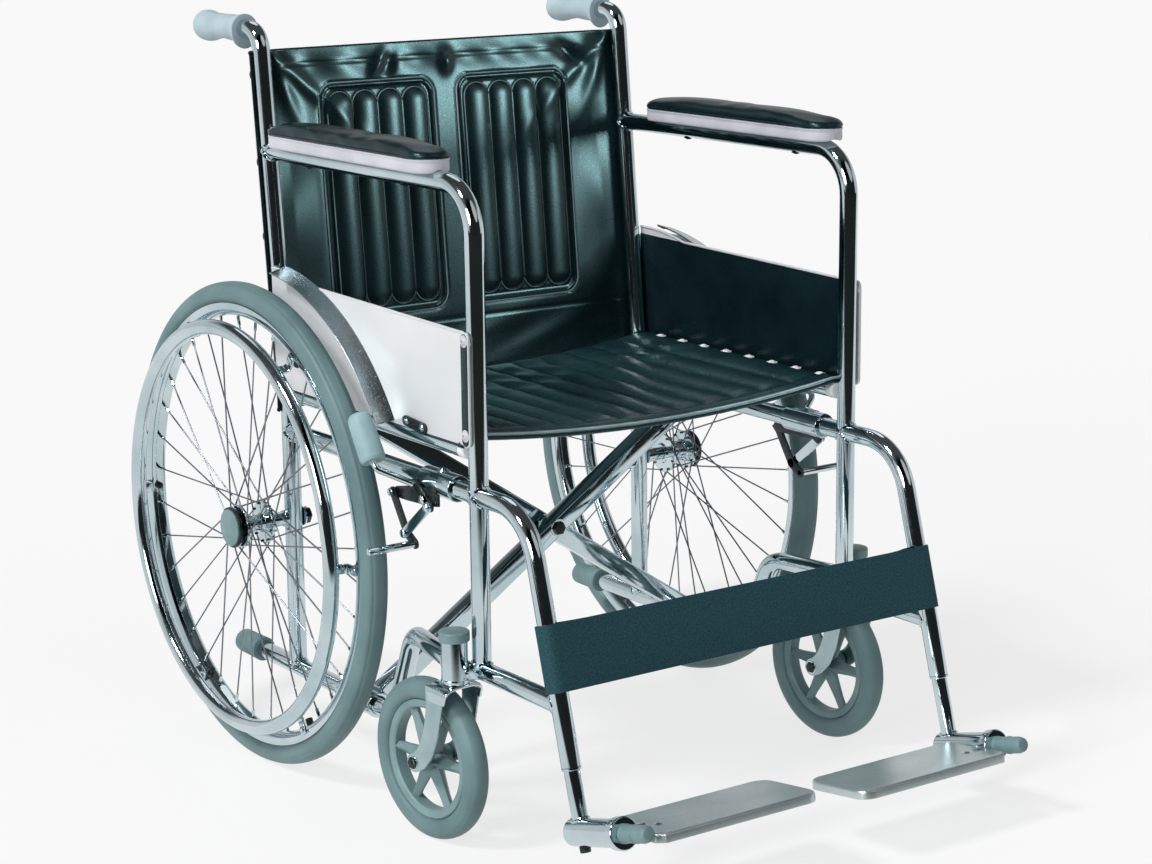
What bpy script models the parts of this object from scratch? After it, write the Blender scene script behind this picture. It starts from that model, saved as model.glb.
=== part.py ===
"""Folding wheelchair: chrome tube frame, wire wheels, castors and sling upholstery.

Metres, +Z up, floor at Z = 0. The user faces -Y, so the user's right side is -X.
While it is built, Y = 0 is the rear axle; the last step puts the origin at the
middle of the bounding box, on the floor.
"""

import math

import bmesh
import bpy
from mathutils import Matrix, Vector

# Clearances
GAP = 0.0003
RUNNING_GAP = 0.0004

# Frame tubes
TUBE_R = 0.0111
FRAME_WIDTH = 0.535
LOWER_RAIL_Z = 0.106
SIDE_RAIL_Z = 0.410
ARM_Z = 0.754
HANDLE_Z = 0.898
FRONT_POST_AHEAD = 0.125
STAY_RISE = 0.0122
BACK_BEND_Z = 0.450
BACK_LEAN = math.radians(5.5)
BACK_BEND_R = 0.080
HANDLE_BEND_R = 0.027
HANDLE_END_Y = 0.180
ARM_BEND_R = 0.055
HANGER_CORNER_AHEAD = 0.0964
HANGER_LEAN = math.radians(16)
HANGER_BEND_R = 0.070
HANGER_END_Z = 0.140
TIP_END_Y = 0.135
GOOSE_TOP_BEHIND = 0.145
GOOSE_RUN = 0.044
GOOSE_Z = 0.218
GOOSE_FOOT_R = 0.040
GOOSE_TOP_R = 0.032

# Rear wheels
WHEEL_R = 0.300
WHEEL_OUT = 0.055
WHEEL_SIDES = 32
TYRE_WIDTH = 0.032
TYRE_DEPTH = 0.027
RIM_WIDTH = 0.025
RIM_DEPTH = 0.014
HUB_R = 0.014
HUB_INNER = 0.036
HUB_OUTER = 0.088
FLANGE_R = 0.027
FLANGE_THICK = 0.006
FLANGE_INSET = 0.006
HUB_CAP_R = 0.025
HUB_CAP_THICK = 0.007
FLANGE_SIDES = 18
SPOKE_COUNT = 36
SPOKE_R = 0.0009
SPOKE_SIDES = 3
SPOKE_LEAD = math.radians(68)
AXLE_R = 0.006
AXLE_NUT_R = 0.011
AXLE_NUT_LENGTH = 0.012
AXLE_SPACER_R = 0.0095
HANDRIM_INSET = 0.052
HANDRIM_TUBE_R = 0.0095
HANDRIM_OUT = 0.090
HANDRIM_BRACKETS = 6
BRACKET_SIZE = 0.012
BRACKET_THICK = 0.003
BRACKET_LAP = 0.004

# Castors
CASTOR_R = 0.095
CASTOR_WIDTH = 0.028
CASTOR_SIDES = 24
CASTOR_TYRE_DEPTH = 0.026
CASTOR_TRAIL = 0.046
CASTOR_OUT = 0.0275
CASTOR_BACK = 0.014
CASTOR_YAW = {-1: math.radians(5.4), 1: math.radians(3.0)}
CASTOR_SPOKES = 6
CASTOR_HUB_R = 0.014
CASTOR_AXLE_R = 0.0045
CASTOR_HUB_OVER = 0.0095
CASTOR_LEG_GAP = 0.001
CASTOR_NUT_R = 0.0075
CASTOR_NUT_LENGTH = 0.004
CASTOR_RIM_WIDTH = 0.018
CASTOR_RIM_DEPTH = 0.009
CASTOR_SPOKE_SIZE = 0.009
FORK_THICK = 0.003
FORK_WIDTH = 0.025
FORK_CROWN_THICK = 0.0035
FORK_CROWN_FRONT = 0.017
FORK_CROWN_BACK = 0.020
FORK_LEG_BACK = 0.004
FORK_KNEE_BACK = 0.010
FORK_KNEE_RISE = 0.012
FORK_LEG_STEPS = 5
FORK_TYRE_GAP = 0.0014
STEM_R = 0.008
HOUSING_R = 0.016
HOUSING_HEIGHT = 0.052
HOUSING_CAP_HEIGHT = 0.010

# Footrests
FOOT_TUBE_R = 0.0092
FOOT_TUBE_INSERT = 0.100
FOOT_BORE_DEPTH = 0.145
FOOT_EXTRA = {-1: 0.0, 1: 0.014}
BARREL_DROP = 0.0676
BARREL_R = 0.0158
BARREL_FRONT = 0.068
FOOT_TUBE_OVER = 0.0065
PIVOT_ROD_R = 0.008
RING_R = 0.0186
RING_WIDTH = 0.012
PLUG_R = 0.010
PLUG_LENGTH = 0.045
FOOTPLATE_REACH = 0.238
FOOTPLATE_DEPTH = 0.102
FOOTPLATE_THICK = 0.003
FOOTPLATE_CORNER_R = 0.018
FOOTPLATE_PITCH = math.radians(8)
FOOTPLATE_GAP = 0.0016
HEEL_GAP = 0.0040
FOOTPLATE_CORNER_CUT = 0.009
STRAP_WIDTH = 0.074
STRAP_THICK = 0.0025
STRAP_ABOVE_STAY = 0.002
STRAP_WRAP = math.radians(-20)

# Braces and seat
SEAT_RAIL_Z = 0.460
SEAT_RAIL_FRONT_GAP = 0.0159
SEAT_RAIL_BACK_Y = -0.022
BRACE_SIZE = 0.024
BRACE_FRONT_Y = -0.180
BRACE_SPACE = 0.003
SLEEVE_R = 0.0155
SLEEVE_FRONT_Y = -0.196
SLEEVE_LENGTH = 0.080
BRACE_BOLT_R = 0.005
BRACE_HEAD_R = 0.009
BRACE_HEAD_LENGTH = 0.005
RAIL_PLUG_LENGTH = 0.012
SEAT_THICK = 0.006
CHANNEL_STEPS = 3
SEAT_ROLL = 0.020
SEAT_SAG = 0.018
SEAT_CHANNELS = 12
SEAT_RIB = 0.0035
SEAT_OVERHANG = 0.006
SEAT_FRONT_BEHIND = 0.017
SEAT_BACK_Y = -0.020
BACK_BOTTOM_Z = 0.437
BACK_TOP_Z = 0.871
BACK_THICK = 0.008
BACK_SAG = 0.004
BACK_OVERHANG = 0.015
BACK_RIB = 0.005
PANEL_INNER_X = 0.016
PANEL_OUTER_X = 0.187
PANEL_LOW_Z = 0.545
PANEL_HIGH_Z = 0.829
PANEL_CHANNELS = 4
PANEL_ARCH = 0.012
PANEL_ROLL = 0.016

# Arms, skirt guards and grips
PAD_LENGTH = 0.362
PAD_WIDTH = 0.050
PAD_FRONT_BEHIND = {-1: 0.067, 1: 0.025}
PAD_BASE_THICK = 0.0155
PAD_BASE_LAP = 0.003
PAD_THICK = 0.0175
PAD_ROUND = 0.009
SKIRT_GAP = 0.0006
SKIRT_THICK = 0.0015
SKIRT_ARC_GAP = 0.0135
SKIRT_FLANGE = 0.024
SKIRT_FRONT_AHEAD = 0.007
SKIRT_LOW_Z = 0.468
SKIRT_TOP_FRONT_Z = 0.594
SKIRT_KNEE_Y = -0.083
SKIRT_ARC_BACK_Y = -0.010
SKIRT_BACK_Y = 0.010
EDGE_WIDTH = 0.016
EDGE_THICK = 0.003
SKIRT_BOLT_R = 0.005
SKIRT_BOLT_INSET = 0.012
GRIP_LENGTH = 0.109
GRIP_R = 0.019
GRIP_ROUND = 0.007
TIP_CAP_R = 0.0155
TIP_CAP_LENGTH = 0.055
TIP_CAP_ROUND = 0.005
CAP_WALL = 0.010

# Wheel locks
CLAMP_R = 0.0155
CLAMP_AHEAD = 0.085
CLAMP_LENGTH = 0.067
LAYER_START = 0.0140
LAYER_PLATE = 0.0025
LEVER_PIVOT_AHEAD = 0.040
LEVER_PIVOT_DROP = 0.018
SHOE_PIVOT_BEHIND = 0.028
SHOE_PIVOT_DROP = 0.022
LINK_END_AHEAD = 0.0005
LINK_END_DROP = 0.065
SHOE_TURN = math.radians(12.5)
CRANK = 0.013
CRANK_ANGLE = math.radians(-150)
LEVER_THICK = 0.003
LINK_THICK = 0.0025
ARM_HALF_WIDTH = 0.006
PIN_R = 0.003
PIN_HEAD_R = 0.0052
PIN_HEAD = 0.002
OPEN_PIN_PLAY = 0.0015
SHOE_BAR_R = 0.0045
SHOE_BAR_DROP = 0.083
SHOE_BAR_OUT = 0.081
LEVER_ROD_R = 0.004
LEVER_KNEE_AHEAD = 0.018
LEVER_KNEE_DROP = 0.004
GRIP_FOOT_CLEAR = 0.0222
GRIP_FOOT_RISE = 0.015
GRIP_HEAD_CLEAR = 0.0167
GRIP_HEAD_RISE = 0.068
LOCK_GRIP_OUT = 0.055
LOCK_GRIP_R = 0.015
LOCK_GRIP_OVER = 0.005
LOCK_GRIP_ROUND = 0.005

# Sides of round pieces
TUBE_RESOLUTION = 3
THIN_RESOLUTION = 2
ROD_SIDES = 10
BORE_SIDES = 14
BEND_STEP = math.radians(22)

# Values that follow from the sizes above
HALF = FRAME_WIDTH / 2
FRONT_POST_Y = -WHEEL_R - FRONT_POST_AHEAD
HANGER_CORNER_Y = FRONT_POST_Y - HANGER_CORNER_AHEAD
GOOSE_TOP_Y = FRONT_POST_Y + GOOSE_TOP_BEHIND
GOOSE_FOOT_Y = GOOSE_TOP_Y + GOOSE_RUN
HANGER_SLOPE = math.tan(HANGER_LEAN)
HANGER_DOWN = Vector((0, -math.sin(HANGER_LEAN), -math.cos(HANGER_LEAN)))
FOOT_AHEAD = Vector((0, -math.cos(HANGER_LEAN), math.sin(HANGER_LEAN)))
BRACE_BACK_Y = BRACE_FRONT_Y + BRACE_SIZE + BRACE_SPACE
CASTOR_X = HALF + CASTOR_OUT
CASTOR_Y = FRONT_POST_Y + CASTOR_BACK
CROWN_BOTTOM_Z = CASTOR_R / math.cos(math.pi / CASTOR_SIDES) + CASTOR_R + FORK_TYRE_GAP
CROWN_TOP_Z = CROWN_BOTTOM_Z + FORK_CROWN_THICK
HOUSING_BOTTOM_Z = CROWN_TOP_Z + RUNNING_GAP
HOUSING_TOP_Z = HOUSING_BOTTOM_Z + HOUSING_HEIGHT
STAY_Z = HOUSING_BOTTOM_Z + STAY_RISE
HANDRIM_R = WHEEL_R - HANDRIM_INSET
SKIRT_ARC_R = WHEEL_R + SKIRT_ARC_GAP
SKIRT_X = HALF + TUBE_R + SKIRT_GAP
SKIRT_FRONT_Y = FRONT_POST_Y - SKIRT_FRONT_AHEAD
SEAT_FRONT_Y = FRONT_POST_Y + SEAT_FRONT_BEHIND
SEAT_RAIL_FRONT_Y = FRONT_POST_Y + TUBE_R + SEAT_RAIL_FRONT_GAP
CLAMP_FRONT_Y = -WHEEL_R - CLAMP_AHEAD
LEVER_PIVOT = (-WHEEL_R - LEVER_PIVOT_AHEAD, SIDE_RAIL_Z - LEVER_PIVOT_DROP)
SHOE_PIVOT = (-WHEEL_R + SHOE_PIVOT_BEHIND, SIDE_RAIL_Z - SHOE_PIVOT_DROP)
LINK_END = (-WHEEL_R - LINK_END_AHEAD, SIDE_RAIL_Z - LINK_END_DROP)
LEVER_KNEE = (-WHEEL_R - LEVER_KNEE_AHEAD, SIDE_RAIL_Z - LEVER_KNEE_DROP)
SHOE_BAR_Z = SIDE_RAIL_Z - SHOE_BAR_DROP

COLOURS = {
    "chrome": ((0.62, 0.66, 0.67), 0.16, 1.0),
    "vinyl": ((0.012, 0.030, 0.034), 0.38, 0.0),
    "strap": ((0.012, 0.052, 0.066), 0.70, 0.0),
    "tyre": ((0.27, 0.40, 0.41), 0.60, 0.0),
    "castor_grey": ((0.30, 0.42, 0.43), 0.45, 0.0),
    "rubber": ((0.44, 0.56, 0.60), 0.55, 0.0),
    "pad_base": ((0.58, 0.58, 0.63), 0.50, 0.0),
    "skirt": ((0.72, 0.78, 0.77), 0.35, 0.0),
    "black_metal": ((0.020, 0.024, 0.026), 0.40, 0.6),
    "plug_white": ((0.85, 0.86, 0.88), 0.40, 0.0),
    "aluminium": ((0.60, 0.65, 0.66), 0.28, 1.0),
}


def clear_scene():
    """Remove every object the file opened with."""
    for thing in list(bpy.data.objects):
        bpy.data.objects.remove(thing)


def make_material(name):
    """A Principled material with the part's colour, roughness and metallic value."""
    colour, roughness, metallic = COLOURS[name]
    material = bpy.data.materials.new(name)
    material.use_nodes = True
    shader = material.node_tree.nodes["Principled BSDF"]
    shader.inputs["Base Color"].default_value = (*colour, 1.0)
    shader.inputs["Roughness"].default_value = roughness
    shader.inputs["Metallic"].default_value = metallic
    material.diffuse_color = (*colour, 1.0)
    return material


def new_object(mesh):
    """Link a mesh to the workshop collection, where pieces are cut and joined."""
    thing = bpy.data.objects.new("piece", mesh)
    workshop.objects.link(thing)
    return thing


def from_bmesh(shape):
    """Turn a bmesh into an object."""
    mesh = bpy.data.meshes.new("piece")
    shape.to_mesh(mesh)
    shape.free()
    return new_object(mesh)


def evaluated(thing):
    """A mesh of the object as its modifiers leave it."""
    graph = bpy.context.evaluated_depsgraph_get()
    return bpy.data.meshes.new_from_object(thing.evaluated_get(graph), depsgraph=graph)


def bake(thing):
    """Replace an object by a plain mesh of its evaluated shape, with its ends welded."""
    mesh = evaluated(thing)
    place = thing.matrix_world.copy()
    bpy.data.objects.remove(thing)
    shape = bmesh.new()
    shape.from_mesh(mesh)
    bmesh.ops.remove_doubles(shape, verts=shape.verts, dist=0.000001)
    shape.transform(place)
    return from_bmesh(shape)


def combine(target, tool, operation):
    """Join a tool to a target, or cut it away, and drop the tool."""
    step = target.modifiers.new("combine", "BOOLEAN")
    step.operation = operation
    step.object = tool
    tool.hide_render = True
    tool.display_type = "WIRE"
    mesh = evaluated(target)
    target.modifiers.remove(step)
    target.data = mesh
    bpy.data.objects.remove(tool)
    return target


def joined(target, *tools):
    """Union of a target with tools that overlap it."""
    for tool in tools:
        combine(target, tool, "UNION")
    return target


def cut(target, *tools):
    """Target less the tools."""
    for tool in tools:
        combine(target, tool, "DIFFERENCE")
    return target


def bend(corners, radii):
    """Points of a path whose inner corners are rounded by arcs of the given radii."""
    corners = [Vector(corner) for corner in corners]
    points = [corners[0]]
    for before, corner, after, radius in zip(corners, corners[1:], corners[2:], radii):
        back = (before - corner).normalized()
        ahead = (after - corner).normalized()
        turn = math.pi - back.angle(ahead)
        start = corner + back * radius * math.tan(turn / 2)
        end = corner + ahead * radius * math.tan(turn / 2)
        centre = corner + (back + ahead).normalized() * radius / math.cos(turn / 2)
        axis = (start - centre).cross(end - centre).normalized()
        steps = max(2, math.ceil(turn / BEND_STEP))
        for index in range(steps + 1):
            spin = Matrix.Rotation(turn * index / steps, 3, axis)
            points.append(centre + spin @ (start - centre))
    points.append(corners[-1])
    return points


def tube(corners, radii, radius=TUBE_R, resolution=TUBE_RESOLUTION):
    """A bent tube along a path, with closed ends."""
    curve = bpy.data.curves.new("path", "CURVE")
    curve.dimensions = "3D"
    curve.bevel_depth = radius
    curve.bevel_resolution = resolution
    curve.use_fill_caps = True
    points = bend(corners, radii)
    line = curve.splines.new("POLY")
    line.points.add(len(points) - 1)
    for knot, point in zip(line.points, points):
        knot.co = (*point, 1.0)
    return bake(new_object(curve))


def rod(start, end, radius, sides=ROD_SIDES):
    """A straight round bar between two points."""
    start, end = Vector(start), Vector(end)
    shape = bmesh.new()
    bmesh.ops.create_cone(
        shape, cap_ends=True, segments=sides, radius1=radius, radius2=radius,
        depth=(end - start).length)
    turn = (end - start).to_track_quat("Z", "Y").to_matrix().to_4x4()
    shape.transform(Matrix.Translation((start + end) / 2) @ turn)
    return from_bmesh(shape)


def bore(start, end, radius):
    """A cutter whose flat sides, not its corners, lie at the given radius."""
    return rod(start, end, radius / math.cos(math.pi / BORE_SIDES), BORE_SIDES)


def block(size, centre, turn=None):
    """A box, turned about its own centre."""
    shape = bmesh.new()
    bmesh.ops.create_cube(shape, size=1.0)
    shape.transform(Matrix.Diagonal((*size, 1.0)))
    if turn is not None:
        shape.transform(turn.to_4x4())
    shape.transform(Matrix.Translation(centre))
    return from_bmesh(shape)


def turned(profile, place, sides, closed=False):
    """A profile of (radius, height) points turned about the local Z axis, then placed."""
    mesh = bpy.data.meshes.new("profile")
    last = len(profile)
    edges = [(index, index + 1) for index in range(last - 1)]
    if closed:
        edges.append((last - 1, 0))
    mesh.from_pydata([(radius, 0, height) for radius, height in profile], edges, [])
    thing = new_object(mesh)
    screw = thing.modifiers.new("turn", "SCREW")
    screw.axis = "Z"
    screw.angle = 2 * math.pi
    screw.steps = sides
    screw.render_steps = sides
    screw.use_merge_vertices = True
    screw.merge_threshold = 0.00001
    half_step = Matrix.Rotation(math.pi / sides, 4, "Z")
    thing.matrix_world = place @ half_step
    bpy.context.view_layer.update()
    return bake(thing)


def facing(direction, point):
    """A placement whose local Z runs along a direction from a point."""
    turn = Vector(direction).to_track_quat("Z", "Y").to_matrix().to_4x4()
    return Matrix.Translation(point) @ turn


def plate(outline, thickness, place):
    """A flat outline of (x, y) points, given a thickness along local Z, then placed."""
    curve = bpy.data.curves.new("outline", "CURVE")
    curve.dimensions = "2D"
    curve.fill_mode = "BOTH"
    curve.extrude = thickness / 2
    line = curve.splines.new("POLY")
    line.points.add(len(outline) - 1)
    for knot, point in zip(line.points, outline):
        knot.co = (point[0], point[1], 0.0, 1.0)
    line.use_cyclic_u = True
    thing = new_object(curve)
    thing.matrix_world = place
    bpy.context.view_layer.update()
    return bake(thing)


def side_plate(outline, thickness, x):
    """A plate upright in the YZ plane, its outline in (y, z), its middle at x."""
    upright = Matrix(((0, 0, 1, x), (1, 0, 0, 0), (0, 1, 0, 0), (0, 0, 0, 1)))
    return plate(outline, thickness, upright)


def arc(centre, radius, start, end, steps):
    """Points on a circle from one angle to another."""
    points = []
    for index in range(steps + 1):
        angle = start + (end - start) * index / steps
        points.append((centre[0] + radius * math.cos(angle),
                       centre[1] + radius * math.sin(angle)))
    return points


def finish(thing, name, material, origin=(0, 0, 0)):
    """Name a piece, give it its material and put its origin where it turns or sits."""
    origin = Vector(origin)
    shape = bmesh.new()
    shape.from_mesh(thing.data)
    bmesh.ops.remove_doubles(shape, verts=shape.verts, dist=0.000002)
    bmesh.ops.dissolve_degenerate(shape, edges=shape.edges, dist=0.000002)
    bmesh.ops.recalc_face_normals(shape, faces=shape.faces)
    shape.transform(Matrix.Translation(-origin))
    mesh = bpy.data.meshes.new(name)
    shape.to_mesh(mesh)
    shape.free()
    mesh.materials.append(materials[material])
    mesh.shade_smooth()
    mesh.set_sharp_from_angle(angle=math.radians(32))
    bpy.data.objects.remove(thing)
    piece = bpy.data.objects.new(name, mesh)
    piece.location = origin
    chair.objects.link(piece)
    return piece


def post_y(z):
    """Y of the back post's centre line at a height: upright, then leaning back."""
    return max(0.0, z - BACK_BEND_Z) * math.tan(BACK_LEAN)


def hanger_y(z):
    """Y of the hanger's straight lower run at a height."""
    return HANGER_CORNER_Y - (SIDE_RAIL_Z - z) * HANGER_SLOPE


def plane_turn(point, pivot, angle):
    """A (y, z) point turned about a pivot, +Y towards +Z."""
    y, z = point[0] - pivot[0], point[1] - pivot[1]
    return (pivot[0] + y * math.cos(angle) - z * math.sin(angle),
            pivot[1] + y * math.sin(angle) + z * math.cos(angle))


def build_frame(side, tag):
    """The welded tubes of one side frame."""
    x = side * HALF
    post_foot_z = LOWER_RAIL_Z + TUBE_R + GAP
    post = tube(
        [(x, 0, post_foot_z), (x, 0, BACK_BEND_Z), (x, post_y(HANDLE_Z), HANDLE_Z),
         (x, HANDLE_END_Y, HANDLE_Z)],
        [BACK_BEND_R, HANDLE_BEND_R])
    reach = 3 * TUBE_R
    cut(post, bore((x - reach, 0, WHEEL_R), (x + reach, 0, WHEEL_R), AXLE_R + GAP))
    finish(post, "back_post_" + tag, "chrome", (x, 0, post_foot_z))

    arm_start_y = post_y(ARM_Z - TUBE_R) - TUBE_R / math.cos(BACK_LEAN) - GAP
    arm_foot_z = STAY_Z + TUBE_R + GAP
    arm = tube(
        [(x, arm_start_y, ARM_Z), (x, FRONT_POST_Y, ARM_Z), (x, FRONT_POST_Y, arm_foot_z)],
        [ARM_BEND_R])
    finish(arm, "arm_tube_" + tag, "chrome", (x, FRONT_POST_Y, arm_foot_z))

    rail_start = (x, -TUBE_R - GAP, SIDE_RAIL_Z)
    rail = tube([rail_start, (x, FRONT_POST_Y + TUBE_R + GAP, SIDE_RAIL_Z)], [])
    finish(rail, "side_rail_" + tag, "chrome", rail_start)

    hanger_start = (x, FRONT_POST_Y - TUBE_R - GAP, SIDE_RAIL_Z)
    hanger_end = Vector((x, hanger_y(HANGER_END_Z), HANGER_END_Z))
    hanger = tube(
        [hanger_start, (x, HANGER_CORNER_Y, SIDE_RAIL_Z), hanger_end], [HANGER_BEND_R])
    cut(hanger, bore(hanger_end + HANGER_DOWN * TUBE_R,
                     hanger_end - HANGER_DOWN * FOOT_BORE_DEPTH, FOOT_TUBE_R + GAP))
    finish(hanger, "hanger_" + tag, "chrome", hanger_start)

    lower_start = Vector((x, TIP_END_Y, LOWER_RAIL_Z))
    goose_top = Vector((x, GOOSE_TOP_Y, GOOSE_Z))
    housing = Vector((side * CASTOR_X, CASTOR_Y, GOOSE_Z))
    goose_end = housing + (goose_top - housing).normalized() * (HOUSING_R + GAP)
    lower = tube(
        [lower_start, (x, GOOSE_FOOT_Y, LOWER_RAIL_Z), goose_top, goose_end],
        [GOOSE_FOOT_R, GOOSE_TOP_R])
    finish(lower, "lower_rail_" + tag, "chrome", lower_start)

    build_castor_housing(side, tag)


def build_castor_housing(side, tag):
    """The upright bearing tube, its cap, the link to the front post and the stay."""
    x = side * HALF
    post = Vector((x, FRONT_POST_Y, STAY_Z))
    centre = Vector((side * CASTOR_X, CASTOR_Y, HOUSING_BOTTOM_Z))
    profile = [
        (0, HOUSING_HEIGHT + HOUSING_CAP_HEIGHT),
        (HOUSING_R * 0.62, HOUSING_HEIGHT + HOUSING_CAP_HEIGHT * 0.86),
        (HOUSING_R * 0.96, HOUSING_HEIGHT + HOUSING_CAP_HEIGHT * 0.40),
        (HOUSING_R, HOUSING_HEIGHT),
        (HOUSING_R, 0),
        (0, 0),
    ]
    housing = turned(profile, Matrix.Translation(centre), BORE_SIDES)

    stay_top_y = hanger_y(STAY_Z + TUBE_R)
    stay_end_y = stay_top_y + TUBE_R / math.cos(HANGER_LEAN) + GAP
    stay = tube([(x, FRONT_POST_Y + TUBE_R, STAY_Z), (x, stay_end_y, STAY_Z)], [])
    link_end = Vector((centre.x, centre.y, STAY_Z))
    middle = (post + link_end) / 2
    heading = Matrix.Rotation(math.atan2(link_end.y - post.y, link_end.x - post.x), 3, "Z")
    link_height = 2 * TUBE_R * 0.9
    link = block(((link_end - post).length, TUBE_R, link_height), middle, heading)
    joined(housing, link, stay)
    stem_top = HOUSING_TOP_Z - HOUSING_CAP_HEIGHT / 2
    cut(housing, bore(centre - Vector((0, 0, STEM_R)), (centre.x, centre.y, stem_top),
                      STEM_R + RUNNING_GAP))
    finish(housing, "castor_housing_" + tag, "chrome", centre)


def build_grips(side, tag):
    """The push grip on the handle and the rubber tip on the tipping lever."""
    x = side * HALF
    grip_start = HANDLE_END_Y + CAP_WALL - GRIP_LENGTH
    bore_r = (TUBE_R + GAP) / math.cos(math.pi / BORE_SIDES)
    tube_end = GRIP_LENGTH - CAP_WALL + GAP
    grip_profile = [
        (0, GRIP_LENGTH), (GRIP_R * 0.75, GRIP_LENGTH), (GRIP_R, GRIP_LENGTH - GRIP_ROUND),
        (GRIP_R, GRIP_LENGTH * 0.82), (GRIP_R * 0.86, GRIP_LENGTH * 0.45),
        (GRIP_R * 0.86, GRIP_LENGTH * 0.14), (GRIP_R * 0.98, GRIP_LENGTH * 0.09),
        (GRIP_R * 0.98, 0), (bore_r, 0), (bore_r, tube_end), (0, tube_end)]
    start = Vector((x, grip_start, HANDLE_Z))
    grip = turned(grip_profile, facing((0, 1, 0), start), BORE_SIDES)
    finish(grip, "push_grip_" + tag, "rubber", start)

    cap_start = Vector((x, TIP_END_Y + CAP_WALL - TIP_CAP_LENGTH, LOWER_RAIL_Z))
    cap_bore = TIP_CAP_LENGTH - CAP_WALL + GAP
    cap_profile = [
        (0, TIP_CAP_LENGTH), (TIP_CAP_R * 0.7, TIP_CAP_LENGTH),
        (TIP_CAP_R, TIP_CAP_LENGTH - TIP_CAP_ROUND), (TIP_CAP_R, 0), (bore_r, 0),
        (bore_r, cap_bore), (0, cap_bore)]
    cap = turned(cap_profile, facing((0, 1, 0), cap_start), BORE_SIDES)
    finish(cap, "tipping_cap_" + tag, "rubber", cap_start)


def build_arm_pad(side, tag):
    """The pad base on the arm tube and the padded top on it."""
    x = side * HALF
    middle_y = FRONT_POST_Y + PAD_FRONT_BEHIND[side] + PAD_LENGTH / 2
    end_r = PAD_WIDTH / 2
    straight = PAD_LENGTH / 2 - end_r
    outline = (arc((0, straight), end_r, 0, math.pi, 6)
               + arc((0, -straight), end_r, math.pi, 2 * math.pi, 6))
    base_z = ARM_Z + TUBE_R - PAD_BASE_LAP
    base = plate(outline, PAD_BASE_THICK,
                 Matrix.Translation((x, middle_y, base_z + PAD_BASE_THICK / 2)))
    cut(base, bore((x, middle_y - PAD_LENGTH, ARM_Z), (x, middle_y + PAD_LENGTH, ARM_Z),
                   TUBE_R + GAP))
    finish(base, "arm_pad_base_" + tag, "pad_base", (x, middle_y, base_z))

    pad_z = base_z + PAD_BASE_THICK + GAP
    pad = plate(outline, PAD_THICK, Matrix.Translation((x, middle_y, pad_z + PAD_THICK / 2)))
    rounding = pad.modifiers.new("rounding", "BEVEL")
    rounding.width = PAD_ROUND
    rounding.segments = 3
    rounding.limit_method = "ANGLE"
    rounding.angle_limit = math.radians(60)
    finish(bake(pad), "arm_pad_" + tag, "vinyl", (x, middle_y, pad_z))


def build_skirt_guard(side, tag):
    """The thin side panel with its arched flange over the wheel and its front edging."""
    axle = (0.0, WHEEL_R)
    start = math.asin((SKIRT_LOW_Z - WHEEL_R) / SKIRT_ARC_R)
    low_angle = math.pi - start
    knee_angle = math.pi / 2 - math.asin(SKIRT_KNEE_Y / SKIRT_ARC_R)
    back_angle = math.pi / 2 - math.asin(SKIRT_ARC_BACK_Y / SKIRT_ARC_R)
    crest_end = math.pi / 2 - math.asin(SKIRT_BACK_Y / SKIRT_ARC_R)
    crest = arc(axle, SKIRT_ARC_R, knee_angle, crest_end, 4)
    outline = [(SKIRT_FRONT_Y, SKIRT_LOW_Z), (SKIRT_FRONT_Y, SKIRT_TOP_FRONT_Z), *crest,
               (SKIRT_BACK_Y, SKIRT_LOW_Z)]
    panel_x = side * (SKIRT_X + SKIRT_THICK / 2)
    panel = side_plate(outline, SKIRT_THICK, panel_x)

    outer = arc(axle, SKIRT_ARC_R + SKIRT_THICK, back_angle, low_angle, 12)
    inner = arc(axle, SKIRT_ARC_R - SKIRT_THICK / 2, low_angle, back_angle, 12)
    seam = SKIRT_X + SKIRT_THICK / 2
    flange_width = SKIRT_FLANGE - SKIRT_THICK / 2
    flange = side_plate(outer + inner, flange_width, side * (seam + flange_width / 2))

    edge_height = SKIRT_TOP_FRONT_Z - SKIRT_LOW_Z + EDGE_THICK
    edge_centre = (side * (seam + EDGE_THICK / 2), SKIRT_FRONT_Y + EDGE_WIDTH * 0.45,
                   (SKIRT_TOP_FRONT_Z + SKIRT_LOW_Z) / 2)
    edge = block((EDGE_THICK, EDGE_WIDTH, edge_height), edge_centre)
    joined(panel, flange, edge)
    for z in (SKIRT_LOW_Z + SKIRT_BOLT_INSET, SKIRT_TOP_FRONT_Z - SKIRT_BOLT_INSET):
        head_start = side * (SKIRT_X + EDGE_THICK / 2)
        head_end = side * (SKIRT_X + EDGE_THICK * 2)
        joined(panel, rod((head_start, FRONT_POST_Y, z), (head_end, FRONT_POST_Y, z),
                          SKIRT_BOLT_R))
    finish(panel, "skirt_guard_" + tag, "skirt", (panel_x, SKIRT_FRONT_Y, SKIRT_LOW_Z))


def lock_layer(side, number):
    """X of the two faces of a wheel lock layer: 0 bracket, 1 lever, 2 link, 3 pin heads."""
    thick = [LAYER_PLATE, LEVER_THICK, LINK_THICK, PIN_HEAD]
    inner = HALF + LAYER_START + sum(thick[:number]) + number * GAP
    return side * inner, side * (inner + thick[number])


def arm_outline(start, end, half_width):
    """A flat bar with round ends between two (y, z) points."""
    heading = math.atan2(end[1] - start[1], end[0] - start[0])
    quarter = math.pi / 2
    return (arc(end, half_width, heading - quarter, heading + quarter, 4)
            + arc(start, half_width, heading + quarter, heading + 3 * quarter, 4))


def lock_bar(side, number, start, end, half_width=ARM_HALF_WIDTH):
    """A flat bar in one layer of the wheel lock."""
    inner, outer = lock_layer(side, number)
    return side_plate(arm_outline(start, end, half_width), abs(outer - inner),
                      (inner + outer) / 2)


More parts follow.
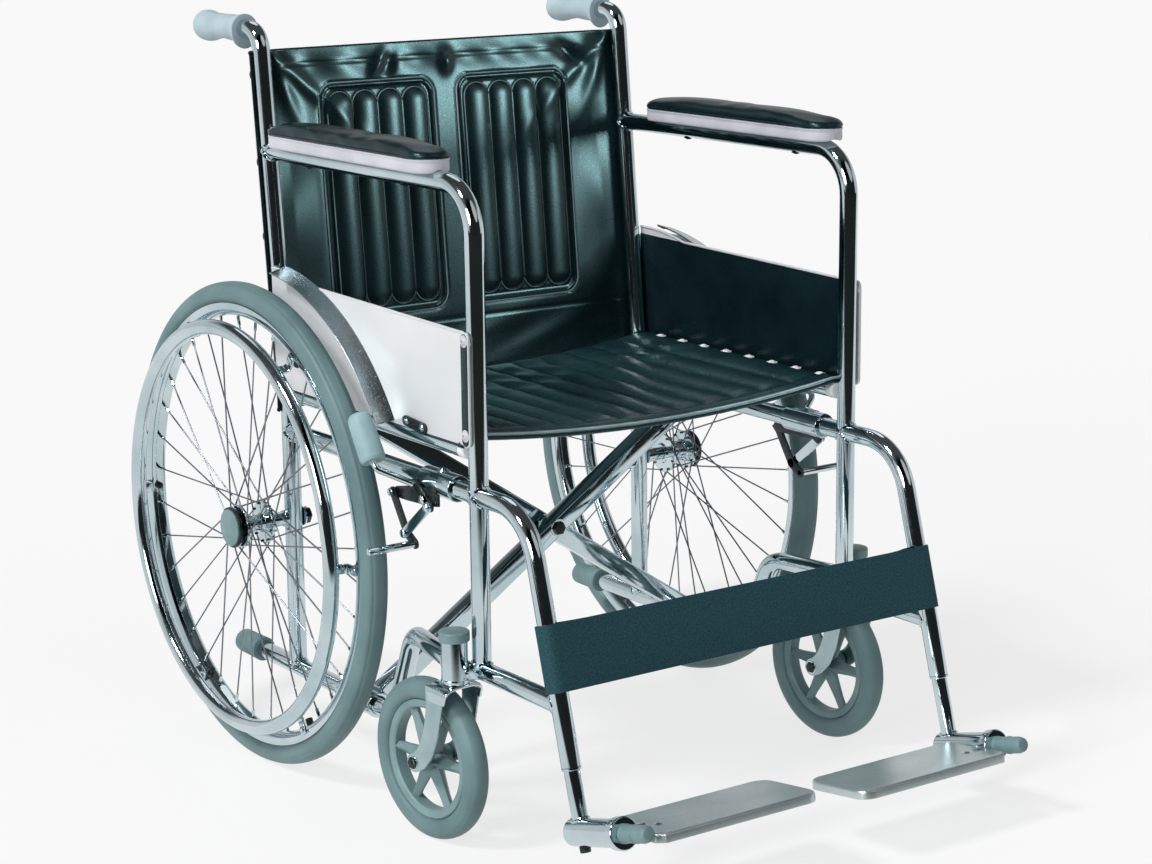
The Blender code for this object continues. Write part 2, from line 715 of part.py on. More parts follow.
def lock_pin(side, point, first, last):
    """A pin with a head, from the middle of one layer to the outside of another."""
    foot = sum(lock_layer(side, first)) / 2
    head_inner, head_outer = lock_layer(side, last)
    pin = rod((foot, *point), ((head_inner + head_outer) / 2, *point), PIN_R)
    head = rod((head_inner, *point), (head_outer, *point), PIN_HEAD_R)
    return joined(pin, head)


def lock_hole(side, point, number, radius):
    """A cutter through one layer of the wheel lock."""
    inner, outer = lock_layer(side, number)
    return bore((inner - side * GAP, *point), (outer + side * GAP, *point), radius)


def ahead_of_tyre(clearance, z):
    """A (y, z) point in front of the tyre: its height, and its distance from the tread."""
    return -math.sqrt((WHEEL_R + clearance) ** 2 - (z - WHEEL_R) ** 2), z


def build_wheel_lock(side, tag):
    """Clamp and bracket, hand lever with its grip, link, and shoe arm with its bar."""
    x = side * HALF
    crank_pin = (LEVER_PIVOT[0] + CRANK * math.cos(CRANK_ANGLE),
                 LEVER_PIVOT[1] + CRANK * math.sin(CRANK_ANGLE))
    bar_reach = WHEEL_R / math.cos(math.pi / WHEEL_SIDES) + SHOE_BAR_R + GAP
    locked_y = -math.sqrt(bar_reach ** 2 - (SHOE_BAR_Z - WHEEL_R) ** 2)
    bar = plane_turn((locked_y, SHOE_BAR_Z), SHOE_PIVOT, -SHOE_TURN)

    clamp_end_y = CLAMP_FRONT_Y + CLAMP_LENGTH
    clamp = rod((x, CLAMP_FRONT_Y, SIDE_RAIL_Z), (x, clamp_end_y, SIDE_RAIL_Z),
                CLAMP_R, BORE_SIDES)
    inner, outer = lock_layer(side, 0)
    ear = ARM_HALF_WIDTH
    outline = [
        (CLAMP_FRONT_Y + ear, SIDE_RAIL_Z + ear / 2),
        (CLAMP_FRONT_Y + ear, LEVER_PIVOT[1] - ear),
        (SHOE_PIVOT[0], SHOE_PIVOT[1] - ear),
        (SHOE_PIVOT[0] + ear, SHOE_PIVOT[1]),
        (SHOE_PIVOT[0], SHOE_PIVOT[1] + ear),
        (clamp_end_y, SIDE_RAIL_Z + ear / 2),
    ]
    bracket = joined(clamp, side_plate(outline, abs(outer - inner), (inner + outer) / 2))
    cut(bracket, bore((x, CLAMP_FRONT_Y - ear, SIDE_RAIL_Z),
                      (x, clamp_end_y + ear, SIDE_RAIL_Z), TUBE_R + GAP))
    joined(bracket, lock_pin(side, LEVER_PIVOT, 0, 2), lock_pin(side, SHOE_PIVOT, 0, 2))
    finish(bracket, "lock_bracket_" + tag, "black_metal", (x, clamp_end_y, SIDE_RAIL_Z))

    lever_inner, lever_outer = lock_layer(side, 1)
    lever_x = (lever_inner + lever_outer) / 2
    grip_x = side * (HALF + LOCK_GRIP_OUT)
    foot = Vector((grip_x, *ahead_of_tyre(GRIP_FOOT_CLEAR, SIDE_RAIL_Z + GRIP_FOOT_RISE)))
    head = Vector((grip_x, *ahead_of_tyre(GRIP_HEAD_CLEAR, SIDE_RAIL_Z + GRIP_HEAD_RISE)))
    lever = lock_bar(side, 1, LEVER_PIVOT, LEVER_KNEE)
    joined(lever, lock_bar(side, 1, crank_pin, LEVER_PIVOT))
    rod_corners = [(lever_outer, *LEVER_KNEE), foot, head]
    joined(lever, tube(rod_corners, [LEVER_ROD_R * 2], LEVER_ROD_R, THIN_RESOLUTION))
    cut(lever, lock_hole(side, LEVER_PIVOT, 1, PIN_R + GAP))
    joined(lever, lock_pin(side, crank_pin, 1, 3))
    finish(lever, "lock_lever_" + tag, "black_metal", (lever_x, *LEVER_PIVOT))

    along = (head - foot).normalized()
    length = (head - foot).length + LOCK_GRIP_OVER
    bore_r = (LEVER_ROD_R + GAP) / math.cos(math.pi / BORE_SIDES)
    start_off = LEVER_ROD_R * 2.5
    rod_end = (head - foot).length - start_off + GAP
    end_off = length - start_off
    grip_profile = [
        (0, end_off), (LOCK_GRIP_R * 0.7, end_off), (LOCK_GRIP_R, end_off - LOCK_GRIP_ROUND),
        (LOCK_GRIP_R, LOCK_GRIP_ROUND), (LOCK_GRIP_R * 0.8, 0), (bore_r, 0), (bore_r, rod_end),
        (0, rod_end)]
    grip_start = foot + along * start_off
    grip = turned(grip_profile, facing(along, grip_start), BORE_SIDES)
    finish(grip, "lock_grip_" + tag, "rubber", (lever_x, *LEVER_PIVOT))

    link_inner, link_outer = lock_layer(side, 2)
    link = lock_bar(side, 2, crank_pin, LINK_END)
    cut(link, lock_hole(side, crank_pin, 2, PIN_R + GAP),
        lock_hole(side, LINK_END, 2, PIN_R + OPEN_PIN_PLAY))
    finish(link, "lock_link_" + tag, "chrome", ((link_inner + link_outer) / 2, *crank_pin))

    shoe = lock_bar(side, 1, SHOE_PIVOT, LINK_END)
    joined(shoe, lock_bar(side, 1, LINK_END, bar))
    cut(shoe, lock_hole(side, SHOE_PIVOT, 1, PIN_R + GAP))
    joined(shoe, rod((lever_x, *bar), (side * (HALF + SHOE_BAR_OUT), *bar), SHOE_BAR_R))
    joined(shoe, lock_pin(side, LINK_END, 1, 3))
    finish(shoe, "lock_shoe_" + tag, "black_metal", (lever_x, *SHOE_PIVOT))


def build_rear_wheel(side, tag):
    """Axle, hub with spokes, rim, tyre and handrim of one rear wheel."""
    x = side * HALF
    centre = Vector((side * (HALF + WHEEL_OUT), 0, WHEEL_R))
    outward = Vector((side, 0, 0))
    frame_side = Vector((x, 0, WHEEL_R))
    stretch = 1 / math.cos(math.pi / WHEEL_SIDES)

    axle = rod(frame_side - outward * (TUBE_R + AXLE_NUT_LENGTH),
               frame_side + outward * (HUB_OUTER - HUB_CAP_THICK), AXLE_R)
    nut = rod(frame_side - outward * (TUBE_R + AXLE_NUT_LENGTH),
              frame_side - outward * (TUBE_R + GAP), AXLE_NUT_R, 6)
    spacer = rod(frame_side + outward * (TUBE_R + GAP),
                 frame_side + outward * (HUB_INNER - RUNNING_GAP), AXLE_SPACER_R)
    joined(axle, nut, spacer)
    finish(axle, "wheel_axle_" + tag, "chrome", frame_side)

    hub = rod(frame_side + outward * HUB_INNER, frame_side + outward * HUB_OUTER,
              HUB_R, BORE_SIDES)
    flanges = (HUB_INNER + FLANGE_INSET, HUB_OUTER - 2 * FLANGE_INSET)
    for out in flanges:
        joined(hub, rod(frame_side + outward * (out - FLANGE_THICK / 2),
                        frame_side + outward * (out + FLANGE_THICK / 2), FLANGE_R, FLANGE_SIDES))
    cap_start = HUB_OUTER - HUB_CAP_THICK * 0.4
    joined(hub, rod(frame_side + outward * cap_start,
                    frame_side + outward * (cap_start + HUB_CAP_THICK), HUB_CAP_R, FLANGE_SIDES))
    cut(hub, bore(frame_side, frame_side + outward * (HUB_OUTER - HUB_CAP_THICK * 0.6),
                  AXLE_R + RUNNING_GAP))
    rim_inner = WHEEL_R - TYRE_DEPTH - RIM_DEPTH
    joined(hub, build_spokes(side, flanges, rim_inner - GAP))
    finish(hub, "wheel_hub_" + tag, "chrome", centre)

    seat = WHEEL_R - TYRE_DEPTH
    half = RIM_WIDTH / 2
    rim_profile = [
        (seat, -half), (seat, half), (seat - RIM_DEPTH * 0.4, half),
        (rim_inner, half * 0.5), (rim_inner, -half * 0.5), (seat - RIM_DEPTH * 0.4, -half)]
    place = facing(outward, centre)
    rim = turned([(r * stretch, h) for r, h in rim_profile], place, WHEEL_SIDES, True)
    finish(rim, "wheel_rim_" + tag, "chrome", centre)

    half = TYRE_WIDTH / 2
    bead = seat + GAP
    tyre_profile = [
        (bead, -half * 0.62), (bead, half * 0.62), (bead + TYRE_DEPTH * 0.36, half),
        (bead + TYRE_DEPTH * 0.76, half * 0.80), (WHEEL_R, half * 0.32),
        (WHEEL_R, -half * 0.32), (bead + TYRE_DEPTH * 0.76, -half * 0.80),
        (bead + TYRE_DEPTH * 0.36, -half)]
    tyre = turned([(r * stretch, h) for r, h in tyre_profile], place, WHEEL_SIDES, True)
    finish(tyre, "wheel_tyre_" + tag, "tyre", centre)

    rim_face = Vector((side * (HALF + WHEEL_OUT + RIM_WIDTH / 2 + GAP), 0, WHEEL_R))
    hoop_centre = Vector((side * (HALF + HANDRIM_OUT), 0, WHEEL_R))
    hoop_profile = arc((HANDRIM_R, 0), HANDRIM_TUBE_R, 0, 2 * math.pi * 5 / 6, 5)
    hoop = turned(hoop_profile, facing(outward, hoop_centre), WHEEL_SIDES, True)
    gap_across = (HANDRIM_OUT - WHEEL_OUT - RIM_WIDTH / 2 - GAP)
    foot_r = seat - RIM_DEPTH * 0.4
    arm_r = (HANDRIM_R + foot_r) / 2
    for index in range(HANDRIM_BRACKETS):
        spin = Matrix.Rotation(2 * math.pi * (index + 0.5) / HANDRIM_BRACKETS, 3, "X")
        foot_place = (rim_face + outward * BRACKET_THICK / 2
                      + spin @ Vector((0, 0, arm_r + BRACKET_LAP)))
        foot = block((BRACKET_THICK, BRACKET_SIZE, foot_r - HANDRIM_R + BRACKET_LAP),
                     foot_place, spin)
        riser_place = rim_face + outward * gap_across / 2 + spin @ Vector((0, 0, HANDRIM_R))
        riser = block((gap_across, BRACKET_SIZE * 0.8, HANDRIM_TUBE_R), riser_place, spin)
        joined(foot, riser)
        joined(hoop, foot)
    finish(hoop, "handrim_" + tag, "chrome", centre)


def build_spokes(side, flanges, end_r):
    """Crossed wires from the two flanges to the rim, as one mesh of separate bars."""
    hole_r = FLANGE_R - FLANGE_THICK / 2
    inside = FLANGE_THICK / 2 - SPOKE_R * 1.3
    bars = bmesh.new()
    for index in range(SPOKE_COUNT):
        rim_angle = 2 * math.pi * (index + 0.5) / SPOKE_COUNT
        lead = 1 if (index // 2) % 2 == 0 else -1
        hub_angle = rim_angle + lead * SPOKE_LEAD
        out = flanges[index % 2] + lead * inside
        start = Vector((side * (HALF + out), hole_r * math.cos(hub_angle),
                        WHEEL_R + hole_r * math.sin(hub_angle)))
        end = Vector((side * (HALF + WHEEL_OUT), end_r * math.cos(rim_angle),
                      WHEEL_R + end_r * math.sin(rim_angle)))
        place = facing(end - start, (start + end) / 2)
        bmesh.ops.create_cone(
            bars, cap_ends=True, segments=SPOKE_SIDES, radius1=SPOKE_R, radius2=SPOKE_R,
            depth=(end - start).length, matrix=place)
    return from_bmesh(bars)


def fork_leg(local_x):
    """A flat leg that curves from the crown back to the castor's axle, in the YZ plane."""
    top = Vector((FORK_LEG_BACK, CROWN_TOP_Z - FORK_CROWN_THICK * 0.3))
    axle = Vector((CASTOR_TRAIL, CASTOR_R))
    knee = Vector((FORK_KNEE_BACK, CASTOR_R + FORK_KNEE_RISE))
    left, right = [], []
    for index in range(FORK_LEG_STEPS + 1):
        t = index / FORK_LEG_STEPS
        point = top * (1 - t) ** 2 + knee * 2 * t * (1 - t) + axle * t ** 2
        slope = (knee - top) * 2 * (1 - t) + (axle - knee) * 2 * t
        normal = Vector((-slope.y, slope.x)).normalized()
        width = FORK_WIDTH * (1 - 0.12 * t)
        left.append(tuple(point + normal * width / 2))
        right.append(tuple(point - normal * width / 2))
    slope = axle - knee
    heading = math.atan2(slope.y, slope.x)
    end_cap = arc(axle, FORK_WIDTH * 0.44, heading + math.pi / 2, heading - math.pi / 2, 4)
    outline = left[:-1] + end_cap + right[-2::-1]
    return side_plate(outline, FORK_THICK, local_x)


def build_castor(side, tag):
    """Fork with stem and axle, castor wheel and castor tyre, turned by the photo's yaw."""
    stem = Vector((side * CASTOR_X, CASTOR_Y, 0))
    place = Matrix.Translation(stem) @ Matrix.Rotation(CASTOR_YAW[side], 4, "Z")
    hub_half = CASTOR_WIDTH / 2 + CASTOR_HUB_OVER
    leg_x = hub_half + CASTOR_LEG_GAP + FORK_THICK / 2
    crown_half = leg_x + FORK_THICK / 2 + GAP

    crown_z = (CROWN_BOTTOM_Z + CROWN_TOP_Z) / 2
    fork = block((2 * crown_half, FORK_CROWN_BACK + FORK_CROWN_FRONT, FORK_CROWN_THICK),
                 (0, (FORK_CROWN_BACK - FORK_CROWN_FRONT) / 2, crown_z))
    stem_end = HOUSING_TOP_Z - HOUSING_CAP_HEIGHT / 2 - 2 * RUNNING_GAP
    joined(fork, fork_leg(-leg_x), fork_leg(leg_x),
           rod((0, 0, crown_z), (0, 0, stem_end), STEM_R))
    bolt_end = leg_x + FORK_THICK / 2 + CASTOR_NUT_LENGTH
    joined(fork, rod((-leg_x, CASTOR_TRAIL, CASTOR_R), (leg_x, CASTOR_TRAIL, CASTOR_R),
                     CASTOR_AXLE_R))
    for end in (-1, 1):
        joined(fork, rod((end * leg_x, CASTOR_TRAIL, CASTOR_R),
                         (end * bolt_end, CASTOR_TRAIL, CASTOR_R), CASTOR_NUT_R, 6))
    fork.data.transform(place)
    finish(fork, "castor_fork_" + tag, "chrome", stem)

    stretch = 1 / math.cos(math.pi / CASTOR_SIDES)
    seat = CASTOR_R - CASTOR_TYRE_DEPTH
    axle = Vector((0, CASTOR_TRAIL, CASTOR_R))
    upright = facing((1, 0, 0), axle)
    rim_half = CASTOR_RIM_WIDTH / 2
    rim_inner = (seat - CASTOR_RIM_DEPTH) * stretch
    wheel = turned(
        [(seat * stretch, -rim_half), (seat * stretch, rim_half),
         (rim_inner, rim_half * 0.8), (rim_inner, -rim_half * 0.8)],
        upright, CASTOR_SIDES, True)
    hub = rod((-hub_half, *axle.yz), (hub_half, *axle.yz), CASTOR_HUB_R, BORE_SIDES)
    for index in range(CASTOR_SPOKES):
        spin = Matrix.Rotation(2 * math.pi * (index + 0.5) / CASTOR_SPOKES, 3, "X")
        middle = axle + spin @ Vector((0, 0, seat / 2))
        joined(hub, block((CASTOR_SPOKE_SIZE, CASTOR_SPOKE_SIZE, seat - CASTOR_RIM_DEPTH / 2),
                          middle, spin))
    joined(wheel, hub)
    cut(wheel, bore((-CASTOR_WIDTH, *axle.yz), (CASTOR_WIDTH, *axle.yz),
                    CASTOR_AXLE_R + RUNNING_GAP))
    wheel.data.transform(place)
    centre = place @ axle
    finish(wheel, "castor_wheel_" + tag, "castor_grey", centre)

    half = CASTOR_WIDTH / 2
    bead = seat + GAP
    tyre_profile = [
        (bead, -half * 0.72), (bead, half * 0.72), (bead + CASTOR_TYRE_DEPTH * 0.45, half),
        (bead + CASTOR_TYRE_DEPTH * 0.84, half * 0.74), (CASTOR_R, half * 0.34),
        (CASTOR_R, -half * 0.34), (bead + CASTOR_TYRE_DEPTH * 0.84, -half * 0.74),
        (bead + CASTOR_TYRE_DEPTH * 0.45, -half)]
    tyre = turned([(r * stretch, h) for r, h in tyre_profile], upright, CASTOR_SIDES, True)
    tyre.data.transform(place)
    finish(tyre, "castor_tyre_" + tag, "tyre", centre)


def build_footrest(side, tag):
    """Extension tube with the pivot barrel and plug, and the footplate with its ring."""
    hanger_end = Vector((side * HALF, hanger_y(HANGER_END_Z), HANGER_END_Z))
    pivot = hanger_end + HANGER_DOWN * (BARREL_DROP + FOOT_EXTRA[side])
    top = hanger_end - HANGER_DOWN * (FOOT_TUBE_INSERT - FOOT_EXTRA[side])
    tube_end = pivot + HANGER_DOWN * (BARREL_R + FOOT_TUBE_OVER)
    foot = rod(top, tube_end, FOOT_TUBE_R)
    barrel = rod(pivot - FOOT_AHEAD * BARREL_R, pivot + FOOT_AHEAD * BARREL_FRONT,
                 BARREL_R, BORE_SIDES)
    ring_start = BARREL_FRONT + GAP
    plug_start = ring_start + RING_WIDTH + GAP
    plug_end = plug_start + PLUG_LENGTH
    pivot_rod = rod(pivot, pivot + FOOT_AHEAD * (plug_start + PLUG_R), PIVOT_ROD_R)
    plug = rod(pivot + FOOT_AHEAD * plug_start, pivot + FOOT_AHEAD * plug_end,
               PLUG_R, BORE_SIDES)
    joined(foot, barrel, pivot_rod, plug)
    finish(foot, "foot_tube_" + tag, "chrome", hanger_end)

    inward = Vector((-side, 0, 0))
    place = Matrix((
        (inward.x, FOOT_AHEAD.x, HANGER_DOWN.x, pivot.x),
        (inward.y, FOOT_AHEAD.y, HANGER_DOWN.y, pivot.y),
        (inward.z, FOOT_AHEAD.z, HANGER_DOWN.z, pivot.z),
        (0, 0, 0, 1)))
    outer = BARREL_R + FOOTPLATE_GAP
    heel = TUBE_R + STRAP_THICK + HEEL_GAP
    toe = heel + FOOTPLATE_DEPTH
    corner, reach = FOOTPLATE_CORNER_R, FOOTPLATE_REACH
    cut_in = FOOTPLATE_CORNER_CUT
    outline = [(outer, toe - cut_in), (outer + cut_in, toe)]
    outline += arc((reach - corner, toe - corner), corner, math.pi / 2, 0, 5)
    outline += arc((reach - corner, heel + corner), corner, 0, -math.pi / 2, 5)
    outline += [(outer + cut_in, heel), (outer, heel + cut_in)]
    ring_middle = ring_start + RING_WIDTH / 2
    level = Matrix.Rotation(HANGER_LEAN - FOOTPLATE_PITCH, 4, "X")
    to_ring = Matrix.Translation((0, ring_middle, 0))
    sheet_place = place @ to_ring @ level @ to_ring.inverted()
    sheet = plate(outline, FOOTPLATE_THICK, sheet_place)
    ring = rod(pivot + FOOT_AHEAD * ring_start, pivot + FOOT_AHEAD * (ring_start + RING_WIDTH),
               RING_R, BORE_SIDES)
    lug_size = (RING_R, RING_WIDTH * 0.8, RING_R * 0.6)
    lug = block(lug_size, (RING_R + FOOTPLATE_THICK, ring_middle, 0))
    lug.data.transform(place)
    joined(sheet, lug, ring)
    cut(sheet, bore(pivot, pivot + FOOT_AHEAD * plug_end, PIVOT_ROD_R + RUNNING_GAP))
    finish(sheet, "footplate_" + tag, "aluminium", pivot)


def build_brace(side, y, tag):
    """A square tube from one lower rail to the opposite seat rail, with its sleeve."""
    foot = Vector((side * HALF, y, LOWER_RAIL_Z))
    head = Vector((-side * HALF, y, SEAT_RAIL_Z))
    along = (head - foot).normalized()
    start = foot + along * SLEEVE_R * 0.85
    end = head - along * TUBE_R * 0.4
    turn = Matrix.Rotation(-math.atan2(along.z, along.x), 3, "Y")
    brace = block(((end - start).length, BRACE_SIZE, BRACE_SIZE), (start + end) / 2, turn)
    sleeve_end = SLEEVE_FRONT_Y + SLEEVE_LENGTH
    sleeve = rod((foot.x, SLEEVE_FRONT_Y, foot.z), (foot.x, sleeve_end, foot.z),
                 SLEEVE_R, BORE_SIDES)
    seat_rail = rod((head.x, SEAT_RAIL_FRONT_Y, head.z), (head.x, SEAT_RAIL_BACK_Y, head.z),
                    TUBE_R, 12)
    joined(brace, sleeve, seat_rail)
    middle = (foot + head) / 2
    ahead = Vector((0, BRACE_SIZE, 0))
    cut(brace,
        bore((foot.x, SLEEVE_FRONT_Y - GAP * 10, foot.z), (foot.x, sleeve_end + GAP * 10, foot.z),
             TUBE_R + RUNNING_GAP),
        bore(middle - ahead, middle + ahead, BRACE_BOLT_R + RUNNING_GAP))
    finish(brace, tag, "chrome", foot if side < 0 else middle)

    plug_front = SEAT_RAIL_FRONT_Y - GAP - RAIL_PLUG_LENGTH
    plug = rod((head.x, SEAT_RAIL_FRONT_Y - GAP, head.z), (head.x, plug_front, head.z),
               TUBE_R, BORE_SIDES)
    plug_tag = "left" if side < 0 else "right"
    finish(plug, "seat_rail_plug_" + plug_tag, "plug_white",
           (head.x, SEAT_RAIL_FRONT_Y, head.z))


def build_braces():
    """The two crossed braces and the bolt they turn on."""
    build_brace(-1, BRACE_FRONT_Y, "brace_front")
    build_brace(1, BRACE_BACK_Y, "brace_back")
    z = (LOWER_RAIL_Z + SEAT_RAIL_Z) / 2
    front_face = BRACE_FRONT_Y - BRACE_SIZE / 2
    back_face = BRACE_BACK_Y + BRACE_SIZE / 2
    head_start = front_face - RUNNING_GAP - BRACE_HEAD_LENGTH
    nut_end = back_face + RUNNING_GAP + BRACE_HEAD_LENGTH
    bolt = rod((0, head_start, z), (0, nut_end, z), BRACE_BOLT_R)
    head = rod((0, head_start, z), (0, front_face - RUNNING_GAP, z), BRACE_HEAD_R, 6)
    nut = rod((0, back_face + RUNNING_GAP, z), (0, nut_end, z), BRACE_HEAD_R, 6)
    washer_front = BRACE_FRONT_Y + BRACE_SIZE / 2 + RUNNING_GAP
    washer_back = washer_front + BRACE_SPACE - 2 * RUNNING_GAP
    washer = rod((0, washer_front, z), (0, washer_back, z), BRACE_HEAD_R)
    joined(bolt, head, nut, washer)
    finish(bolt, "brace_bolt", "chrome", (0, BRACE_FRONT_Y, z))


def sheet_solid(columns, rows, front, back):
    """A closed sheet between two surfaces given as functions of the grid's (u, v)."""
    shape = bmesh.new()
    layers = []
    for surface in (front, back):
        layers.append([[shape.verts.new(surface(u, v)) for u in columns] for v in rows])
    wide, tall = len(columns), len(rows)
    for j in range(tall - 1):
        for i in range(wide - 1):
            corners = ((j, i), (j, i + 1), (j + 1, i + 1), (j + 1, i))
            shape.faces.new([layers[0][a][b] for a, b in corners])
            shape.faces.new([layers[1][a][b] for a, b in reversed(corners)])
    border = ([(0, i) for i in range(wide)] + [(j, wide - 1) for j in range(1, tall)]
              + [(tall - 1, i) for i in range(wide - 2, -1, -1)]
              + [(j, 0) for j in range(tall - 2, 0, -1)])
    for (a, b), (c, d) in zip(border, border[1:] + border[:1]):
        shape.faces.new([layers[0][c][d], layers[0][a][b], layers[1][a][b], layers[1][c][d]])
    return from_bmesh(shape)


def build_seat_sling():
    """The seat: a sagging sheet with padded channels that run front to back."""
    edge = HALF + SEAT_OVERHANG
    rest_z = SEAT_RAIL_Z + TUBE_R + GAP
    padded = HALF - TUBE_R

    def sag(x):
        return SEAT_SAG * max(0.0, 1 - (x / HALF) ** 2)

    def top(x, y):
        channel = (x + padded) / (2 * padded) * SEAT_CHANNELS
        rib = abs(math.sin(math.pi * channel)) ** 0.6 if abs(x) < padded else 0.0
        near_edge = min(y - SEAT_FRONT_Y, SEAT_BACK_Y - y)
        crown = min(1.0, near_edge / SEAT_ROLL)
        return (x, y, rest_z + SEAT_THICK + SEAT_RIB * rib * crown - sag(x))

    def bottom(x, y):
        return (x, y, rest_z - sag(x))

    count = SEAT_CHANNELS * CHANNEL_STEPS
    columns = [padded * (2 * i / count - 1) for i in range(count + 1)]
    columns = [-edge, -HALF] + columns + [HALF, edge]
    rows = [SEAT_FRONT_Y, SEAT_FRONT_Y + SEAT_ROLL * 0.4, SEAT_FRONT_Y + SEAT_ROLL,
            (SEAT_FRONT_Y + SEAT_BACK_Y) / 2, SEAT_BACK_Y - SEAT_ROLL, SEAT_BACK_Y]
    seat = sheet_solid(columns, rows, top, bottom)
    finish(seat, "seat_sling", "vinyl", (0, SEAT_FRONT_Y, rest_z))


def build_back_sling():
    """The back: a sheet behind the posts with two panels of padded channels."""
    edge = HALF + BACK_OVERHANG
    away = TUBE_R / math.cos(BACK_LEAN) + GAP

    def rear(x, z):
        hollow = BACK_SAG * max(0.0, 1 - (x / HALF) ** 2)
        return post_y(z) + away + hollow

    def front(x, z):
        inner, outer = PANEL_INNER_X, PANEL_OUTER_X
        across = (abs(x) - inner) / (outer - inner) * PANEL_CHANNELS
        rib = 0.0
        if 0 < across < PANEL_CHANNELS:
            arch = PANEL_ARCH * (1 - abs(2 * (across % 1) - 1))
            ends = min(z - PANEL_LOW_Z + arch, PANEL_HIGH_Z + arch - z)
            rib = abs(math.sin(math.pi * across)) ** 0.6 * min(1.0, max(0.0, ends / PANEL_ROLL))
        return (x, rear(x, z) - BACK_RIB * rib, z)

    def back(x, z):
        return (x, rear(x, z) + BACK_THICK, z)

    count = PANEL_CHANNELS * CHANNEL_STEPS
    step = (PANEL_OUTER_X - PANEL_INNER_X) / count
    half_columns = [PANEL_INNER_X + step * i for i in range(count + 1)]
    half_columns += [(PANEL_OUTER_X + HALF) / 2, HALF, edge]
    columns = [-x for x in reversed(half_columns)] + half_columns
    ends = (-PANEL_ARCH, PANEL_ROLL * 0.25, PANEL_ROLL * 1.25)
    rows = ([BACK_BOTTOM_Z, BACK_BEND_Z] + [PANEL_LOW_Z + end for end in ends]
            + [(PANEL_LOW_Z + PANEL_HIGH_Z) / 2]
            + [PANEL_HIGH_Z - end for end in reversed(ends)] + [BACK_TOP_Z])
    sling = sheet_solid(columns, rows, front, back)
    finish(sling, "back_sling", "vinyl", (0, 0, BACK_BOTTOM_Z))


def build_calf_strap():
    """A flat strap across the front of both hangers, turned round their outer sides."""
    radius = TUBE_R + GAP + STRAP_THICK / 2
    wrap = arc((HALF, 0), radius, STRAP_WRAP, math.pi / 2, 6)
    path = wrap + [(-x, ahead) for x, ahead in reversed(wrap)]
    rise = math.cos(HANGER_LEAN) * STRAP_WIDTH
    low_z = STAY_Z + TUBE_R + STRAP_ABOVE_STAY
    shape = bmesh.new()
    rows = []
    for z in (low_z, low_z + rise):
        centre = Vector((0, hanger_y(z), z))
        rows.append([shape.verts.new(centre + Vector((x, 0, 0)) + FOOT_AHEAD * ahead)
                     for x, ahead in path])
    for low, high, next_low, next_high in zip(rows[0], rows[1], rows[0][1:], rows[1][1:]):
        shape.faces.new([low, next_low, next_high, high])
    strap = from_bmesh(shape)
    wall = strap.modifiers.new("wall", "SOLIDIFY")
    wall.thickness = STRAP_THICK
    wall.offset = 0
    wall.use_even_offset = True
    finish(bake(strap), "calf_strap", "strap", (0, hanger_y(low_z), low_z))


def stand_on_origin():
    """Move every piece so that the origin is under the middle of the bounding box."""
    bpy.context.view_layer.update()
    corners = []
    for piece in chair.objects:
        corners += [piece.matrix_world @ vertex.co for vertex in piece.data.vertices]
    low = [min(corner[axis] for corner in corners) for axis in range(3)]
    high = [max(corner[axis] for corner in corners) for axis in range(3)]
    move = Vector(((low[0] + high[0]) / 2, (low[1] + high[1]) / 2, low[2]))
    for piece in chair.objects:
        piece.location = piece.location - move
    print("origin moved by", tuple(round(value, 6) for value in move))


clear_scene()
chair = bpy.data.collections.new("wheelchair")
workshop = bpy.data.collections.new("workshop")
for group in (chair, workshop):
    bpy.context.scene.collection.children.link(group)
materials = {name: make_material(name) for name in COLOURS}

for side_sign, side_name in ((-1, "right"), (1, "left")):
    build_frame(side_sign, side_name)
    build_grips(side_sign, side_name)
    build_arm_pad(side_sign, side_name)
    build_skirt_guard(side_sign, side_name)
    build_wheel_lock(side_sign, side_name)
    build_rear_wheel(side_sign, side_name)
    build_castor(side_sign, side_name)
    build_footrest(side_sign, side_name)
build_braces()
build_seat_sling()
build_back_sling()
build_calf_strap()
stand_on_origin()
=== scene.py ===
"""A folding wheelchair: chromed tube frame, wire wheels, castors and padded vinyl slings.

Surfaces are grids of points in metres, worked out with numpy. They are written with y = 0 at
the rear axle, and piece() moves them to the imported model's frame.
"""
import math

import bmesh
import bpy
import numpy as np
from mathutils import Matrix, Vector


